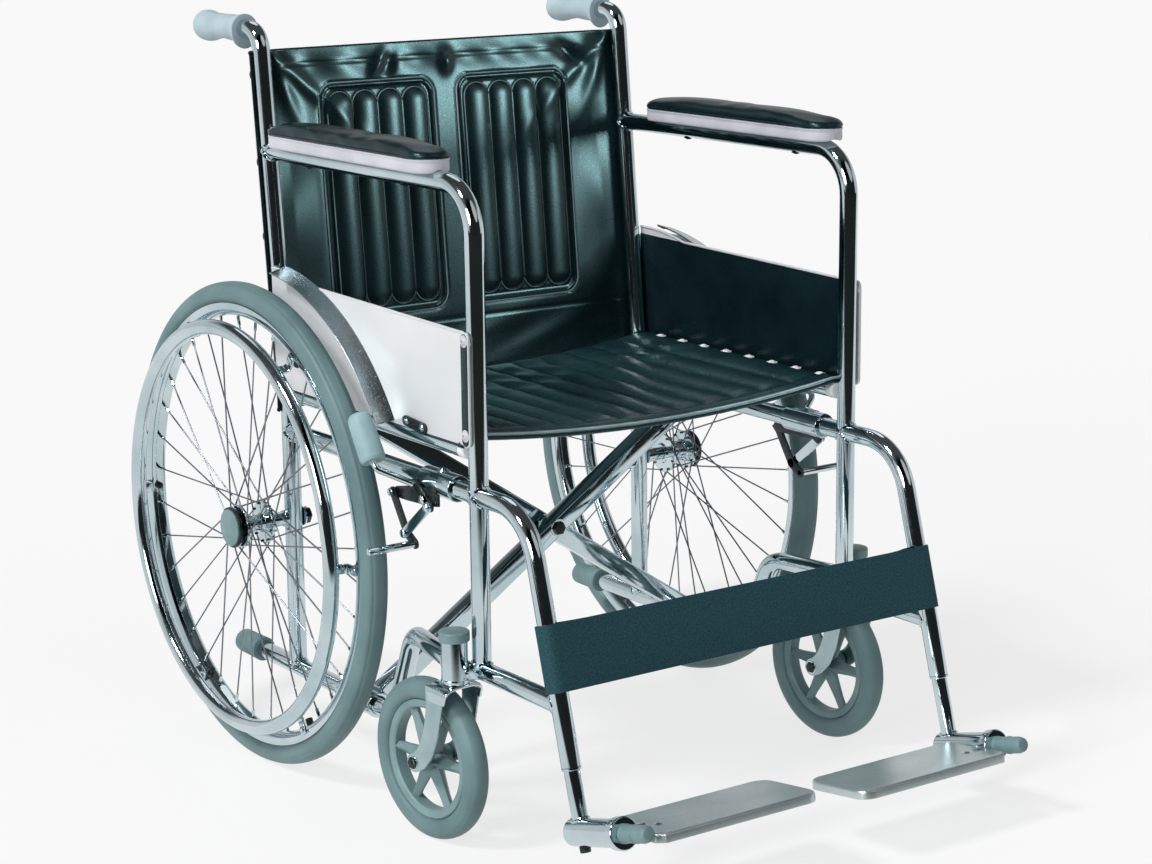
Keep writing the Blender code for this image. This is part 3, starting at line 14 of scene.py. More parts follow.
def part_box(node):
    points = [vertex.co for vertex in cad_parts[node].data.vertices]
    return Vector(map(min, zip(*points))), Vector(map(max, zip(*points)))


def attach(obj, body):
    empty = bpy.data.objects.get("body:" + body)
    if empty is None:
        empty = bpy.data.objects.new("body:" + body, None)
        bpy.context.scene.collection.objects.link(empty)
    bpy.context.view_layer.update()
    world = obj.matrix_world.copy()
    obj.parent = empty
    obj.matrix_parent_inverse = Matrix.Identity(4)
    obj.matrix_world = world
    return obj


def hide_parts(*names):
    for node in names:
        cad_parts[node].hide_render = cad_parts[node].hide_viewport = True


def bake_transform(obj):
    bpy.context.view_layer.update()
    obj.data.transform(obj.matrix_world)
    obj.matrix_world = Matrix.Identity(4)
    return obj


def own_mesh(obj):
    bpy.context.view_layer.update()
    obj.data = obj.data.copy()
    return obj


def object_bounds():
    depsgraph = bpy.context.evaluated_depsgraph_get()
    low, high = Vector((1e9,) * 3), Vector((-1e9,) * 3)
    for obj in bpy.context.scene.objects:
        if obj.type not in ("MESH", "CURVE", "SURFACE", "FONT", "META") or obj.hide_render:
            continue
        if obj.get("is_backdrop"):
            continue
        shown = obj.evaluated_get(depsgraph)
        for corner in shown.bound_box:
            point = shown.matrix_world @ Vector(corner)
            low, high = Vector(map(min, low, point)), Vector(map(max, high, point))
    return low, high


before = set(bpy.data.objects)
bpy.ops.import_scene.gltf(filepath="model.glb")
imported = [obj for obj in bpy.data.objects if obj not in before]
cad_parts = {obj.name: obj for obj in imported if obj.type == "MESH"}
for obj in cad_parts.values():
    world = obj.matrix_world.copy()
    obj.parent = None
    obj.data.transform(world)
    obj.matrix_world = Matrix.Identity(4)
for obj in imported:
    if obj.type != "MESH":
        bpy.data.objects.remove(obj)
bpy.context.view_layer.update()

# Back posts
# Each is one chromed steel tube, upright at the axle, bent to lean back above the seat and
# bent level as the push handle. Its foot is welded down on the lower rail.
SIDES = ((-1, "right"), (1, "left"))
axle_low, axle_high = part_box("wheel_tyre_right")
AXLE_Y = (axle_low.y + axle_high.y) / 2
HALF = 0.2675
TUBE_R = 0.0111
BEAD_R = 0.0021
LOWER_RAIL_Z = 0.106
BACK_BEND_Z = 0.450
BACK_LEAN = math.radians(5.5)
HANDLE_Z = 0.898
HANDLE_END_Y = 0.180
X_AXIS, Y_AXIS, Z_AXIS = np.eye(3)
WELD_DISTANCE = 0.000003


def unit(vectors):
    """Each vector divided by its own length."""
    vectors = np.asarray(vectors, float)
    return vectors / np.linalg.norm(vectors, axis=-1, keepdims=True)


def circle(radius, sides=24):
    """A closed loop: radius times (cos t, sin t)."""
    t = np.linspace(0, 2 * np.pi, sides + 1)
    return radius * np.stack([np.cos(t), np.sin(t)], 1)


def rounded(corners, radii, step=math.radians(7)):
    """Straight runs joined by arcs: centre + a cos t + b sin t, a from the centre to the arc's start."""
    corners = np.array(corners, float)
    radii = np.broadcast_to(radii, len(corners) - 2)
    points = [corners[:1]]
    for before, corner, after, radius in zip(corners, corners[1:], corners[2:], radii):
        back, ahead = unit(before - corner), unit(after - corner)
        turn = math.pi - math.acos(np.clip(back @ ahead, -1, 1))
        centre = corner + unit(back + ahead) * radius / math.cos(turn / 2)
        start = corner + back * radius * math.tan(turn / 2)
        t = np.linspace(0, turn, max(3, math.ceil(turn / step)))[:, None]
        points.append(centre + (start - centre) * np.cos(t) - back * radius * np.sin(t))
    points.append(corners[-1:])
    return np.concatenate(points)


def carried(section, path, across=X_AXIS, edge=0.0008, closed=False, scale=1.0):
    """A section loop carried along a path: path + a * side + b * rise, row by row.

    side is `across` made square to the path and rise is path x side. Open ends turn in over a
    quarter round of radius edge and close on the path.
    """
    path = np.asarray(path, float)
    steps = unit(np.diff(path, axis=0))
    if closed:
        ahead = unit(np.roll(steps, 1, 0) + steps)
        ahead = np.concatenate([ahead, ahead[:1]])
    else:
        ahead = unit(np.concatenate([steps[:1], steps[1:] + steps[:-1], steps[-1:]]))
    across = np.broadcast_to(across, path.shape)
    side = unit(across - (across * ahead).sum(1, keepdims=True) * ahead)
    rise = np.cross(ahead, side)
    sizes = np.broadcast_to(scale, (len(path), 2)) if np.ndim(scale) < 2 else scale * np.ones(2)
    if not closed:
        half = np.abs(section).max(0)
        t = np.radians((90, 60, 30, 0))[:, None]
        shrink = 1 - edge / half * (1 - np.cos(t))
        head = path[0] + ahead[0] * edge * (1 - np.sin(t))
        tail = path[-1] - ahead[-1] * edge * (1 - np.sin(t[::-1]))
        path = np.concatenate([head[:1], head, path[1:-1], tail, tail[-1:]])
        sizes = np.concatenate([
            sizes[:1] * 0, sizes[:1] * shrink, sizes[1:-1], sizes[-1:] * shrink[::-1],
            sizes[-1:] * 0])
        side = np.concatenate([side[[0] * 5], side[1:-1], side[[-1] * 5]])
        rise = np.concatenate([rise[[0] * 5], rise[1:-1], rise[[-1] * 5]])
    loop = section[None] * sizes[:, None]
    return path[:, None] + loop[..., :1] * side[:, None] + loop[..., 1:] * rise[:, None]


def weld_bead(centre, axis, ahead, pipe=TUBE_R, post=TUBE_R):
    """The bead where a pipe butts on a post: ahead * sqrt(post^2 - (pipe sin t)^2)
    + across * pipe sin t + axis * pipe cos t, with a thickness that ripples as laid weld does."""
    axis, ahead = unit(axis), unit(ahead)
    across = np.cross(axis, ahead)
    t = np.linspace(0, 2 * np.pi, 73)[:, None]
    reach = np.sqrt(np.maximum((post * 1.01) ** 2 - (pipe * np.sin(t)) ** 2, 0))
    line = centre + ahead * reach + across * pipe * np.sin(t) + axis * pipe * np.cos(t)
    ripple = 1 + 0.10 * np.sin(18 * t)
    return carried(circle(BEAD_R, 8), line, line - centre, closed=True, scale=ripple)


def piece(name, grids, finishes, body=None, stands_for=(), sharp=38):
    """Grids of points (rows, columns, 3) made one welded mesh, smooth up to the sharp angle.

    A cell's corners are (i, j), (i, j + 1), (i + 1, j + 1), (i + 1, j). The UV map holds each
    grid's mean distance along its columns and its rows, in metres.
    """
    finishes = finishes if isinstance(finishes, list) else [finishes] * len(grids)
    kinds = list(dict.fromkeys(finishes))
    points, cells, marks, maps, count = [], [], [], [], 0
    for grid, finish in zip(grids, finishes):
        rows, columns = grid.shape[:2]
        index = count + np.arange(rows * columns).reshape(rows, columns)
        cell = np.stack([index[:-1, :-1], index[:-1, 1:], index[1:, 1:], index[1:, :-1]], -1)
        cells.append(cell.reshape(-1, 4))
        marks.append(np.full(len(cells[-1]), kinds.index(finish)))
        across = np.linalg.norm(np.diff(grid, axis=1), axis=2).mean(0).cumsum()
        along = np.linalg.norm(np.diff(grid, axis=0), axis=2).mean(1).cumsum()
        u, v = np.meshgrid(np.append(0, across), np.append(0, along))
        maps.append(np.stack([u, v], -1).reshape(-1, 2))
        points.append(grid.reshape(-1, 3))
        count += rows * columns
    cells = np.concatenate(cells)
    mesh = bpy.data.meshes.new(name)
    mesh.from_pydata((np.concatenate(points) + Y_AXIS * AXLE_Y).tolist(), [], cells.tolist())
    layer = mesh.uv_layers.new(name="UVMap")
    layer.data.foreach_set("uv", np.concatenate(maps)[cells.ravel()].ravel())
    mesh.polygons.foreach_set("material_index", np.concatenate(marks))
    for kind in kinds:
        mesh.materials.append(kind)
    skin = bmesh.new()
    skin.from_mesh(mesh)
    bmesh.ops.remove_doubles(skin, verts=skin.verts, dist=WELD_DISTANCE)
    bmesh.ops.dissolve_degenerate(skin, edges=skin.edges, dist=WELD_DISTANCE)
    bmesh.ops.recalc_face_normals(skin, faces=skin.faces)
    skin.to_mesh(mesh)
    skin.free()
    mesh.shade_smooth()
    mesh.set_sharp_from_angle(angle=math.radians(sharp))
    made = bpy.data.objects.new(name, mesh)
    bpy.context.scene.collection.objects.link(made)
    if body:
        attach(made, body)
    if stands_for:
        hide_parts(*stands_for)
    return made


def node(tree, kind, sources=(), **settings):
    """A shader node; sources maps its sockets to values or to other nodes' outputs."""
    made = tree.nodes.new("ShaderNode" + kind)
    for key, value in settings.items():
        setattr(made, key, value)
    for socket, source in dict(sources).items():
        if isinstance(source, bpy.types.NodeSocket):
            tree.links.new(source, made.inputs[socket])
        else:
            made.inputs[socket].default_value = source
    return made


def finish_of(name, dark, light, rough, patch, grain, height, stretch=(1, 1, 1), cells=0.0, **fixed):
    """A surface finish. Colour runs from dark to light and roughness between its two values with
    noise of `patch` metres; the bump is noise of `grain` metres, its height in metres, stretched
    along an axis for brushed metal, with leather cells mixed in by the share `cells`."""
    made = bpy.data.materials.new(name)
    made.use_nodes = True
    tree = made.node_tree
    shader = tree.nodes["Principled BSDF"]
    place = node(tree, "TexCoord").outputs["Object"]
    drawn = node(tree, "Mapping", {"Vector": place, "Scale": stretch}).outputs["Vector"]
    broad = node(tree, "TexNoise", {"Vector": place, "Scale": 1 / patch, "Detail": 5.0})
    fine = node(tree, "TexNoise", {"Vector": drawn, "Scale": 1 / grain, "Detail": 3.0})
    ramp = node(tree, "ValToRGB", {"Fac": broad.outputs["Fac"]})
    ramp.color_ramp.elements[0].position = 0.32
    ramp.color_ramp.elements[1].position = 0.68
    ramp.color_ramp.elements[0].color = (*dark, 1)
    ramp.color_ramp.elements[1].color = (*light, 1)
    spread = node(tree, "MapRange", {
        "Value": fine.outputs["Fac"], "From Min": 0.3, "From Max": 0.7,
        "To Min": rough[0], "To Max": rough[1]})
    relief = fine.outputs["Fac"]
    if cells:
        pebble = node(tree, "TexVoronoi", {"Vector": place, "Scale": 0.6 / grain, "Smoothness": 0.7},
                      feature="SMOOTH_F1")
        relief = node(tree, "Mix", {0: cells, 2: relief, 3: pebble.outputs["Distance"]},
                      data_type="FLOAT").outputs[0]
    bump = node(tree, "Bump", {"Height": relief, "Distance": height, "Strength": 1.0})
    tree.links.new(ramp.outputs["Color"], shader.inputs["Base Color"])
    tree.links.new(spread.outputs["Result"], shader.inputs["Roughness"])
    tree.links.new(bump.outputs["Normal"], shader.inputs["Normal"])
    for key, value in fixed.items():
        shader.inputs[key.replace("_", " ")].default_value = value
    return made


def post_y(z):
    """The back post's centre line: y = 0 up to the bend, then leaning back."""
    return np.maximum(0.0, np.asarray(z) - BACK_BEND_Z) * math.tan(BACK_LEAN)


chrome = finish_of(
    "chrome", (0.50, 0.63, 0.67), (0.70, 0.80, 0.84), (0.04, 0.11), 0.09, 0.004, 0.000012,
    Metallic=1.0)
for side, tag in SIDES:
    x = side * HALF
    line = rounded(
        [(x, 0, LOWER_RAIL_Z + TUBE_R * 0.3), (x, 0, BACK_BEND_Z), (x, post_y(HANDLE_Z), HANDLE_Z),
         (x, HANDLE_END_Y, HANDLE_Z)], [0.080, 0.027])
    foot = weld_bead((x, 0, LOWER_RAIL_Z), Y_AXIS, Z_AXIS)
    piece("post_tube_" + tag, [carried(circle(TUBE_R), line), foot], chrome, "frame_" + tag,
          ["back_post_" + tag])

# Arm tubes and side rails
# One bent tube makes the arm and the front post. A straight rail joins the two posts under
# the seat. All ends are notched and welded, and each joint shows a small bead.
ARM_Z = 0.754
SIDE_RAIL_Z = 0.410
FRONT_POST_Y = -0.425
STAY_Z = 0.2083
for side, tag in SIDES:
    x = side * HALF
    arm_start = np.array((x, post_y(ARM_Z), ARM_Z))
    line = rounded([arm_start, (x, FRONT_POST_Y, ARM_Z), (x, FRONT_POST_Y, STAY_Z)], [0.055])
    beads = [weld_bead(arm_start, Z_AXIS, -Y_AXIS),
             weld_bead((x, FRONT_POST_Y, STAY_Z), Y_AXIS, Z_AXIS)]
    piece("arm_bend_" + tag, [carried(circle(TUBE_R), line), *beads], chrome, "frame_" + tag,
          ["arm_tube_" + tag])
    ends = np.array([(x, 0, SIDE_RAIL_Z), (x, FRONT_POST_Y, SIDE_RAIL_Z)])
    beads = [weld_bead(ends[0], Z_AXIS, -Y_AXIS), weld_bead(ends[1], Z_AXIS, Y_AXIS)]
    piece("rail_tube_" + tag, [carried(circle(TUBE_R), ends), *beads], chrome, "frame_" + tag,
          ["side_rail_" + tag])

# Footrest hangers
# The hanger runs on from the side rail, bends down and stays open at its lower end, where the
# footrest's own tube slides in.
HANGER_LEAN = math.radians(16)
HANGER_CORNER_Y = -0.5214
HANGER_END_Z = 0.140
HANGER_BORE_R = 0.0096
HANGER_DOWN = np.array((0, -math.sin(HANGER_LEAN), -math.cos(HANGER_LEAN)))
FOOT_AHEAD = np.array((0, -math.cos(HANGER_LEAN), math.sin(HANGER_LEAN)))


def hanger_y(z):
    """The hanger's lower run: straight, leaning forward as it goes down."""
    return HANGER_CORNER_Y - (SIDE_RAIL_Z - z) * math.tan(HANGER_LEAN)


def turned(profile, centre, axis, sides=48):
    """Points of (radius, height) turned about an axis: centre + height axis
    + radius (a cos t + b sin t)."""
    profile, axis = np.asarray(profile, float), unit(axis)
    a = unit(np.cross(axis, Z_AXIS if abs(axis[2]) < 0.9 else X_AXIS))
    round_axis = circle(1.0, sides) @ np.stack([a, np.cross(axis, a)])
    radius, height = profile[:, :1, None], profile[:, 1:, None]
    return np.asarray(centre) + height * axis + radius * round_axis[None]


for side, tag in SIDES:
    x = side * HALF
    end = np.array((x, hanger_y(HANGER_END_Z), HANGER_END_Z))
    start = (x, FRONT_POST_Y, SIDE_RAIL_Z)
    line = rounded([start, (x, HANGER_CORNER_Y, SIDE_RAIL_Z), end + HANGER_DOWN * -0.002], [0.070])
    mouth = turned(
        [(0, 0.030), (HANGER_BORE_R, 0.030), (HANGER_BORE_R, 0.0004), (TUBE_R - 0.0008, 0),
         (TUBE_R - 0.0002, 0.0003), (TUBE_R, 0.001), (TUBE_R, 0.004), (0, 0.0045)],
        end, -HANGER_DOWN, 24)
    piece("hanger_tube_" + tag, [carried(circle(TUBE_R), line), mouth,
                                 weld_bead(start, Z_AXIS, -Y_AXIS)],
          chrome, "frame_" + tag, ["hanger_" + tag])

# Lower rails and castor housings
# The lower rail starts as the tipping lever, runs level and rises in a gooseneck to the
# castor's upright bearing tube. The housing is welded to the front post's foot, and a stay
# runs on from there to the hanger. A grey plastic cap closes the housing.
GOOSE_Z = 0.218
GOOSE_FOOT_Y = -0.236
GOOSE_TOP_Y = -0.280
TIP_END_Y = 0.135
HOUSING_R = 0.016
HOUSING_LOW_Z = 0.1961
HOUSING_HIGH_Z = 0.2481
CASTOR_X = HALF + 0.0275
CASTOR_Y = FRONT_POST_Y + 0.014
castor_plastic = finish_of(
    "castor_plastic", (0.13, 0.22, 0.23), (0.20, 0.31, 0.32), (0.34, 0.48), 0.05, 0.0016, 0.00003,
    Specular_IOR_Level=0.45)


def box_loop(wide, high, corner, steps=4):
    """A closed rectangle loop, wide by high, with corners rounded by quarter circles."""
    t = np.radians(np.linspace(0, 90, steps + 1))
    arcs = [np.stack([sx * (wide / 2 - corner) + corner * np.cos(t + q * np.pi / 2),
                      sy * (high / 2 - corner) + corner * np.sin(t + q * np.pi / 2)], 1)
            for q, (sx, sy) in enumerate(((1, 1), (-1, 1), (-1, -1), (1, -1)))]
    return np.concatenate([*arcs, arcs[0][:1]])


for side, tag in SIDES:
    x = side * HALF
    body = "frame_" + tag
    centre = np.array((side * CASTOR_X, CASTOR_Y, GOOSE_Z))
    goose = (x, GOOSE_TOP_Y, GOOSE_Z)
    line = rounded([(x, TIP_END_Y, LOWER_RAIL_Z), (x, GOOSE_FOOT_Y, LOWER_RAIL_Z), goose, centre],
                   [0.040, 0.032])
    bead = weld_bead(centre, Z_AXIS, goose - centre, TUBE_R, HOUSING_R)
    piece("lower_tube_" + tag, [carried(circle(TUBE_R), line), bead], chrome, body,
          ["lower_rail_" + tag])
    post = np.array((x, FRONT_POST_Y, STAY_Z))
    link = carried(box_loop(0.0200, 0.0105, 0.003), [post, (*centre[:2], STAY_Z)], Z_AXIS)
    stay_end = (x, hanger_y(STAY_Z), STAY_Z)
    stay = carried(circle(TUBE_R), [(x, FRONT_POST_Y + TUBE_R, STAY_Z), stay_end])
    barrel = turned(
        rounded([(0, HOUSING_LOW_Z), (HOUSING_R, HOUSING_LOW_Z), (HOUSING_R, HOUSING_LOW_Z + 0.004),
                 (HOUSING_R - 0.0008, HOUSING_LOW_Z + 0.005), (HOUSING_R - 0.0008, HOUSING_HIGH_Z),
                 (0, HOUSING_HIGH_Z)], 0.0006), (*centre[:2], 0), Z_AXIS)
    cap = turned(
        rounded([(0, HOUSING_HIGH_Z - 0.003), (HOUSING_R + 0.0016, HOUSING_HIGH_Z - 0.003),
                 (HOUSING_R + 0.0016, 0.2562), (HOUSING_R - 0.002, 0.2572),
                 (0, 0.2581)], [0.001, 0.0022, 0.004]), (*centre[:2], 0), Z_AXIS)
    beads = [weld_bead(stay_end, HANGER_DOWN, Y_AXIS), weld_bead(
        (*centre[:2], STAY_Z), Z_AXIS, post - (*centre[:2], STAY_Z), 0.0095, HOUSING_R)]
    piece("housing_" + tag, [barrel, link, stay, cap, *beads],
          [chrome, chrome, chrome, castor_plastic, chrome, chrome], body,
          ["castor_housing_" + tag])

# Push grips and tipping lever tips
# Pale moulded rubber pushed on the tube ends. The push grip swells at its end, is waisted for
# the fingers underneath and flares to a guard by the bend; the tip is ribbed.
GRIP_START_Y = 0.081
GRIP_END_Y = 0.190
TIP_START_Y = 0.090
TIP_CAP_END_Y = 0.145
TIP_R = 0.0155
rubber = finish_of(
    "pale_rubber", (0.36, 0.47, 0.51), (0.46, 0.58, 0.63), (0.48, 0.62), 0.03, 0.0011, 0.00006,
    Specular_IOR_Level=0.35)
for side, tag in SIDES:
    x = side * HALF
    s = np.linspace(0, 1, 60)[:, None]
    t = np.linspace(0, 2 * np.pi, 49)[None]
    under = np.clip(-np.cos(t), 0, 1) ** 2
    swell = 0.0160 + 0.0030 * np.exp(-((s - 0.86) / 0.13) ** 2) + 0.0022 * np.exp(-(s / 0.10) ** 2)
    waist = 0.0018 * np.exp(-((s - 0.45) / 0.14) ** 2) - 0.0015 * np.exp(-((s - 0.74) / 0.10) ** 2)
    guard = 0.0060 * np.exp(-(s / 0.07) ** 2)
    radius = swell - under * (waist - guard)
    radius = radius * np.sqrt(np.clip(1 - np.clip((s - 0.90) / 0.10, 0, 1) ** 3, 0, 1))
    y = GRIP_START_Y + (GRIP_END_Y - GRIP_START_Y) * s + 0 * t
    skin = np.stack([x + radius * np.sin(t), y, HANDLE_Z + radius * np.cos(t)], -1)
    mouth = skin[:1]
    lip = np.stack([x + TUBE_R * np.sin(t), 0 * t + GRIP_START_Y, HANDLE_Z + TUBE_R * np.cos(t)], -1)
    deep = lip + Y_AXIS * 0.006
    pole = np.broadcast_to((x, GRIP_START_Y + 0.006, HANDLE_Z), deep.shape)
    edge = mouth + (lip - mouth) * 0.12 - Y_AXIS * 0.0006
    grip = np.concatenate([pole, deep, lip, edge, skin])
    piece("grip_rubber_" + tag, [grip], rubber, "frame_" + tag, ["push_grip_" + tag])
    h = np.linspace(0, 1, 56)
    ribs = 0.0007 * (np.sin(h * 2 * np.pi * 7) > 0) * (h < 0.72)
    cap_r = (TIP_R - ribs - 0.0008 * h) * np.sqrt(np.clip(1 - np.clip((h - 0.9) / 0.1, 0, 1) ** 3, 0, 1))
    profile = np.stack([cap_r, TIP_START_Y + (TIP_CAP_END_Y - TIP_START_Y) * h], 1)
    inner = [(0, TIP_START_Y + 0.005), (TUBE_R, TIP_START_Y + 0.005), (TUBE_R, TIP_START_Y)]
    tip = turned(np.concatenate([inner, profile]), (x, 0, LOWER_RAIL_Z), Y_AXIS, 32)
    piece("tip_rubber_" + tag, [tip], castor_plastic, "frame_" + tag, ["tipping_cap_" + tag])

# Arm pads
# A pale plastic base, screwed up through the arm tube, carries a foam pad covered in vinyl.
# The cover is blown up by a cloth simulation, and a sewn welt runs round its foot.
PAD_MIDDLE_Y = {-1: -0.177, 1: -0.219}
PAD_STRAIGHT = 0.156
PAD_HALF_WIDTH = 0.025
PAD_BASE_Z = ARM_Z + TUBE_R - 0.003
PAD_BASE_THICK = 0.0155
PUFF_LIMIT = 0.0012
PUFF_PRESSURE = 3.0
PUFF_SHRINK = -0.02
PUFF_FRAMES = 20
vinyl = finish_of(
    "vinyl", (0.002, 0.007, 0.009), (0.005, 0.016, 0.020), (0.24, 0.36), 0.07, 0.0011, 0.00005,
    cells=0.6, Specular_Tint=(0.50, 0.95, 1.0, 1))
pad_plastic = finish_of(
    "pad_plastic", (0.50, 0.51, 0.56), (0.60, 0.61, 0.65), (0.38, 0.50), 0.04, 0.0009, 0.00003)
dark_steel = finish_of(
    "dark_steel", (0.018, 0.024, 0.026), (0.050, 0.066, 0.070), (0.20, 0.38), 0.02, 0.0012, 0.00003,
    Metallic=0.7)


def stadium(straight, radius):
    """A closed (x, y) loop: two half circles joined by straight sides along y; and its spine."""
    t = np.linspace(0, np.pi, 21)
    half = np.stack([radius * np.cos(t), straight + radius * np.sin(t)], 1)
    side_y = np.linspace(straight, -straight, 24)[1:-1]
    left = np.stack([0 * side_y - radius, side_y], 1)
    loop = np.concatenate([half, left, -half, -left, half[:1]])
    spine = np.stack([0 * loop[:, 0], np.clip(loop[:, 1], -straight, straight)], 1)
    return loop, spine


def slab(loop, spine, profile, origin=(0, 0, 0), axes=(X_AXIS, Y_AXIS, Z_AXIS)):
    """A plate or pad: each (share, height) of the profile draws the loop in towards its spine,
    spine + share (loop - spine), at that height along the third axis."""
    share, height = np.asarray(profile, float).T
    flat = spine + share[:, None, None] * (loop - spine)
    first, second, third = (np.asarray(axis, float) for axis in axes)
    return (np.asarray(origin) + flat[..., :1] * first + flat[..., 1:] * second
            + height[:, None, None] * third)


def screw_head(point, out, radius=0.0042, height=0.0022):
    """A domed screw head with a round recess sunk in its middle, on a thin washer."""
    profile = [(0, height * 0.35), (radius * 0.28, height * 0.40), (radius * 0.34, height),
               (radius * 0.75, height * 0.80), (radius, height * 0.25), (radius * 1.45, height * 0.2),
               (radius * 1.5, 0), (0, -height)]
    return turned(profile, point, out, 16)


def puffed(thing, pinned):
    """A cloth simulation of a stuffed cover: pressure inside, no gravity, pinned points held,
    and no point further than PUFF_LIMIT from where it started."""
    mesh = thing.data
    rest = np.empty(len(mesh.vertices) * 3)
    mesh.vertices.foreach_get("co", rest)
    rest = rest.reshape(-1, 3)
    hold = thing.vertex_groups.new(name="hold")
    hold.add(np.flatnonzero(pinned(rest)).tolist(), 1.0, "REPLACE")
    cloth = thing.modifiers.new("cloth", "CLOTH")
    cloth.settings.use_pressure = True
    cloth.settings.uniform_pressure_force = PUFF_PRESSURE
    cloth.settings.shrink_min = PUFF_SHRINK
    cloth.settings.effector_weights.gravity = 0
    cloth.settings.vertex_group_mass = "hold"
    for number in range(1, PUFF_FRAMES + 1):
        bpy.context.scene.frame_set(number)
    graph = bpy.context.evaluated_depsgraph_get()
    moved = np.empty(len(rest) * 3)
    thing.evaluated_get(graph).data.vertices.foreach_get("co", moved)
    shift = moved.reshape(-1, 3) - rest
    far = np.linalg.norm(shift, axis=1, keepdims=True)
    shift *= np.minimum(1, PUFF_LIMIT / np.maximum(far, 1e-9))
    thing.modifiers.remove(cloth)
    thing.vertex_groups.remove(hold)
    mesh.vertices.foreach_set("co", (rest + shift).ravel())
    mesh.update()
    bpy.context.scene.frame_set(1)


for side, tag in SIDES:
    origin = np.array((side * HALF, PAD_MIDDLE_Y[side], 0))
    loop, spine = stadium(PAD_STRAIGHT, PAD_HALF_WIDTH)
    top_z = PAD_BASE_Z + PAD_BASE_THICK
    base_profile = [(0, 0), (0.1, 0), (0.2, 0), (0.3, 0), (0.36, 0), (0.42, 0), (0.93, 0),
                    (0.965, 0.0008), (0.980, 0.003), (0.985, 0.0085), (0.970, 0.0105),
                    (0.970, 0.0122), (0.995, 0.0130), (0.995, 0.0150), (0.95, PAD_BASE_THICK),
                    (0, PAD_BASE_THICK)]
    base = slab(loop, spine, base_profile, origin + Z_AXIS * PAD_BASE_Z)
    from_tube = np.maximum((TUBE_R + 0.0004) ** 2 - (base[..., 0] - side * HALF) ** 2, 0)
    base[..., 2] = np.maximum(base[..., 2], ARM_Z + np.sqrt(from_tube))
    seats = [np.array((side * HALF, PAD_MIDDLE_Y[side] + y, ARM_Z - TUBE_R))
             for y in (-0.108, 0.108)]
    piece("pad_base_" + tag, [base], pad_plastic, "frame_" + tag,
          ["arm_pad_base_" + tag])
    piece("pad_screws_" + tag, [screw_head(seat, -Z_AXIS) for seat in seats], dark_steel,
          "frame_" + tag)
    share = np.array((0, 0.35, 0.7, 0.90, 0.97, 1.0, 0.985, 0.93, 0.82, 0.65, 0.45, 0.25, 0))
    rise = np.array((0, 0, 0, 0, 0.001, 0.0038, 0.0075, 0.0112, 0.0138, 0.0152, 0.0160, 0.0165, 0.0167))
    cover = slab(loop, spine, np.stack([share, top_z + 0.0003 + rise], 1), origin)
    to_end = np.clip((np.abs(cover[..., 1] - PAD_MIDDLE_Y[side]) - 0.060) / 0.121, 0, 1)
    cover[..., 2] -= (cover[..., 2] - top_z - 0.0003) * 0.42 * to_end ** 2.2
    pad = piece("pad_cover_" + tag, [cover], vinyl, "frame_" + tag, ["arm_pad_" + tag])
    puffed(pad, lambda points: points[:, 2] < top_z + 0.0025)
    pad.modifiers.new("smooth", "SUBSURF").render_levels = 1
    pad.modifiers["smooth"].levels = 1
    ring = np.concatenate([loop * 0.985 + origin[:2], np.full((len(loop), 1), top_z + 0.0016)], 1)
    piece("pad_welt_" + tag, [carried(circle(0.0014, 8), ring, Z_AXIS, closed=True)], vinyl,
          "frame_" + tag)

# Skirt guards
# A thin silver panel, black on the side of the seat, stands between arm and rail. A curved strip
# over the wheel is fixed to it, and a dark strip with two bolts joins its front to the post.
SKIRT_IN_X = 0.2792
SKIRT_OUT_X = 0.2807
SKIRT_FRONT_Y = -0.432
SKIRT_BACK_Y = 0.010
SKIRT_LOW_Z = 0.468
SKIRT_FRONT_Z = 0.594
SKIRT_KNEE_Y = -0.083
ARCH_R = 0.3135
ARCH_OUT = 0.0230
WHEEL_R = 0.300
EDGE_STRIP_Y = -0.4248
EDGE_STRIP_HALF = 0.008
YZX = np.array((Y_AXIS, Z_AXIS, X_AXIS))
silver = finish_of(
    "silver_panel", (0.72, 0.75, 0.77), (0.80, 0.81, 0.84), (0.38, 0.48), 0.12, 0.0022, 0.00001,
    Metallic=0.3)
arch_metal = finish_of(
    "arch_metal", (0.46, 0.56, 0.58), (0.62, 0.70, 0.72), (0.20, 0.28), 0.08, 0.0018, 0.00001,
    Metallic=1.0)


def strip(left, right, low, high, edge=0.0006):
    """A plate between two lines of (y, z) points, from low to high along x. Each row is the box
    round it, its corners rounded by `edge`; the ends close on its middle line."""
    left, right = np.asarray(left, float), np.asarray(right, float)
    width = np.linalg.norm(right - left, axis=1, keepdims=True)
    along = (right - left) / np.maximum(width, 1e-9)
    bite = np.minimum(edge, width * 0.499)[:, None]
    t = np.radians((0, 30, 60, 90))
    inward, lift = 1 - np.sin(t), 1 - np.cos(t)
    back = slice(None, None, -1)
    shift = np.concatenate([-inward, -inward[back], inward, inward[back], -inward[:1]])
    rise = np.concatenate([lift, -lift[back], -lift, lift[back], lift[:1]])
    corner = np.repeat((1, 1, 0, 0, 1), (4, 4, 4, 4, 1))[None, :, None]
    upper = np.repeat((0, 1, 1, 0, 0), (4, 4, 4, 4, 1))
    flat = left[:, None] + corner * (right - left)[:, None]
    flat = flat + shift[None, :, None] * bite * along[:, None]
    height = low + (high - low) * upper + rise * math.copysign(min(edge, abs(high - low) / 2),
                                                               high - low)
    height = np.broadcast_to(height, flat.shape[:2])[..., None]
    rows = np.concatenate([flat, height], 2)
    middle = rows[[0, -1]].copy()
    middle[..., :2] = ((left + right) / 2)[[0, -1]][:, None]
    rows = np.concatenate([middle[:1], rows, middle[1:]])
    return rows @ YZX


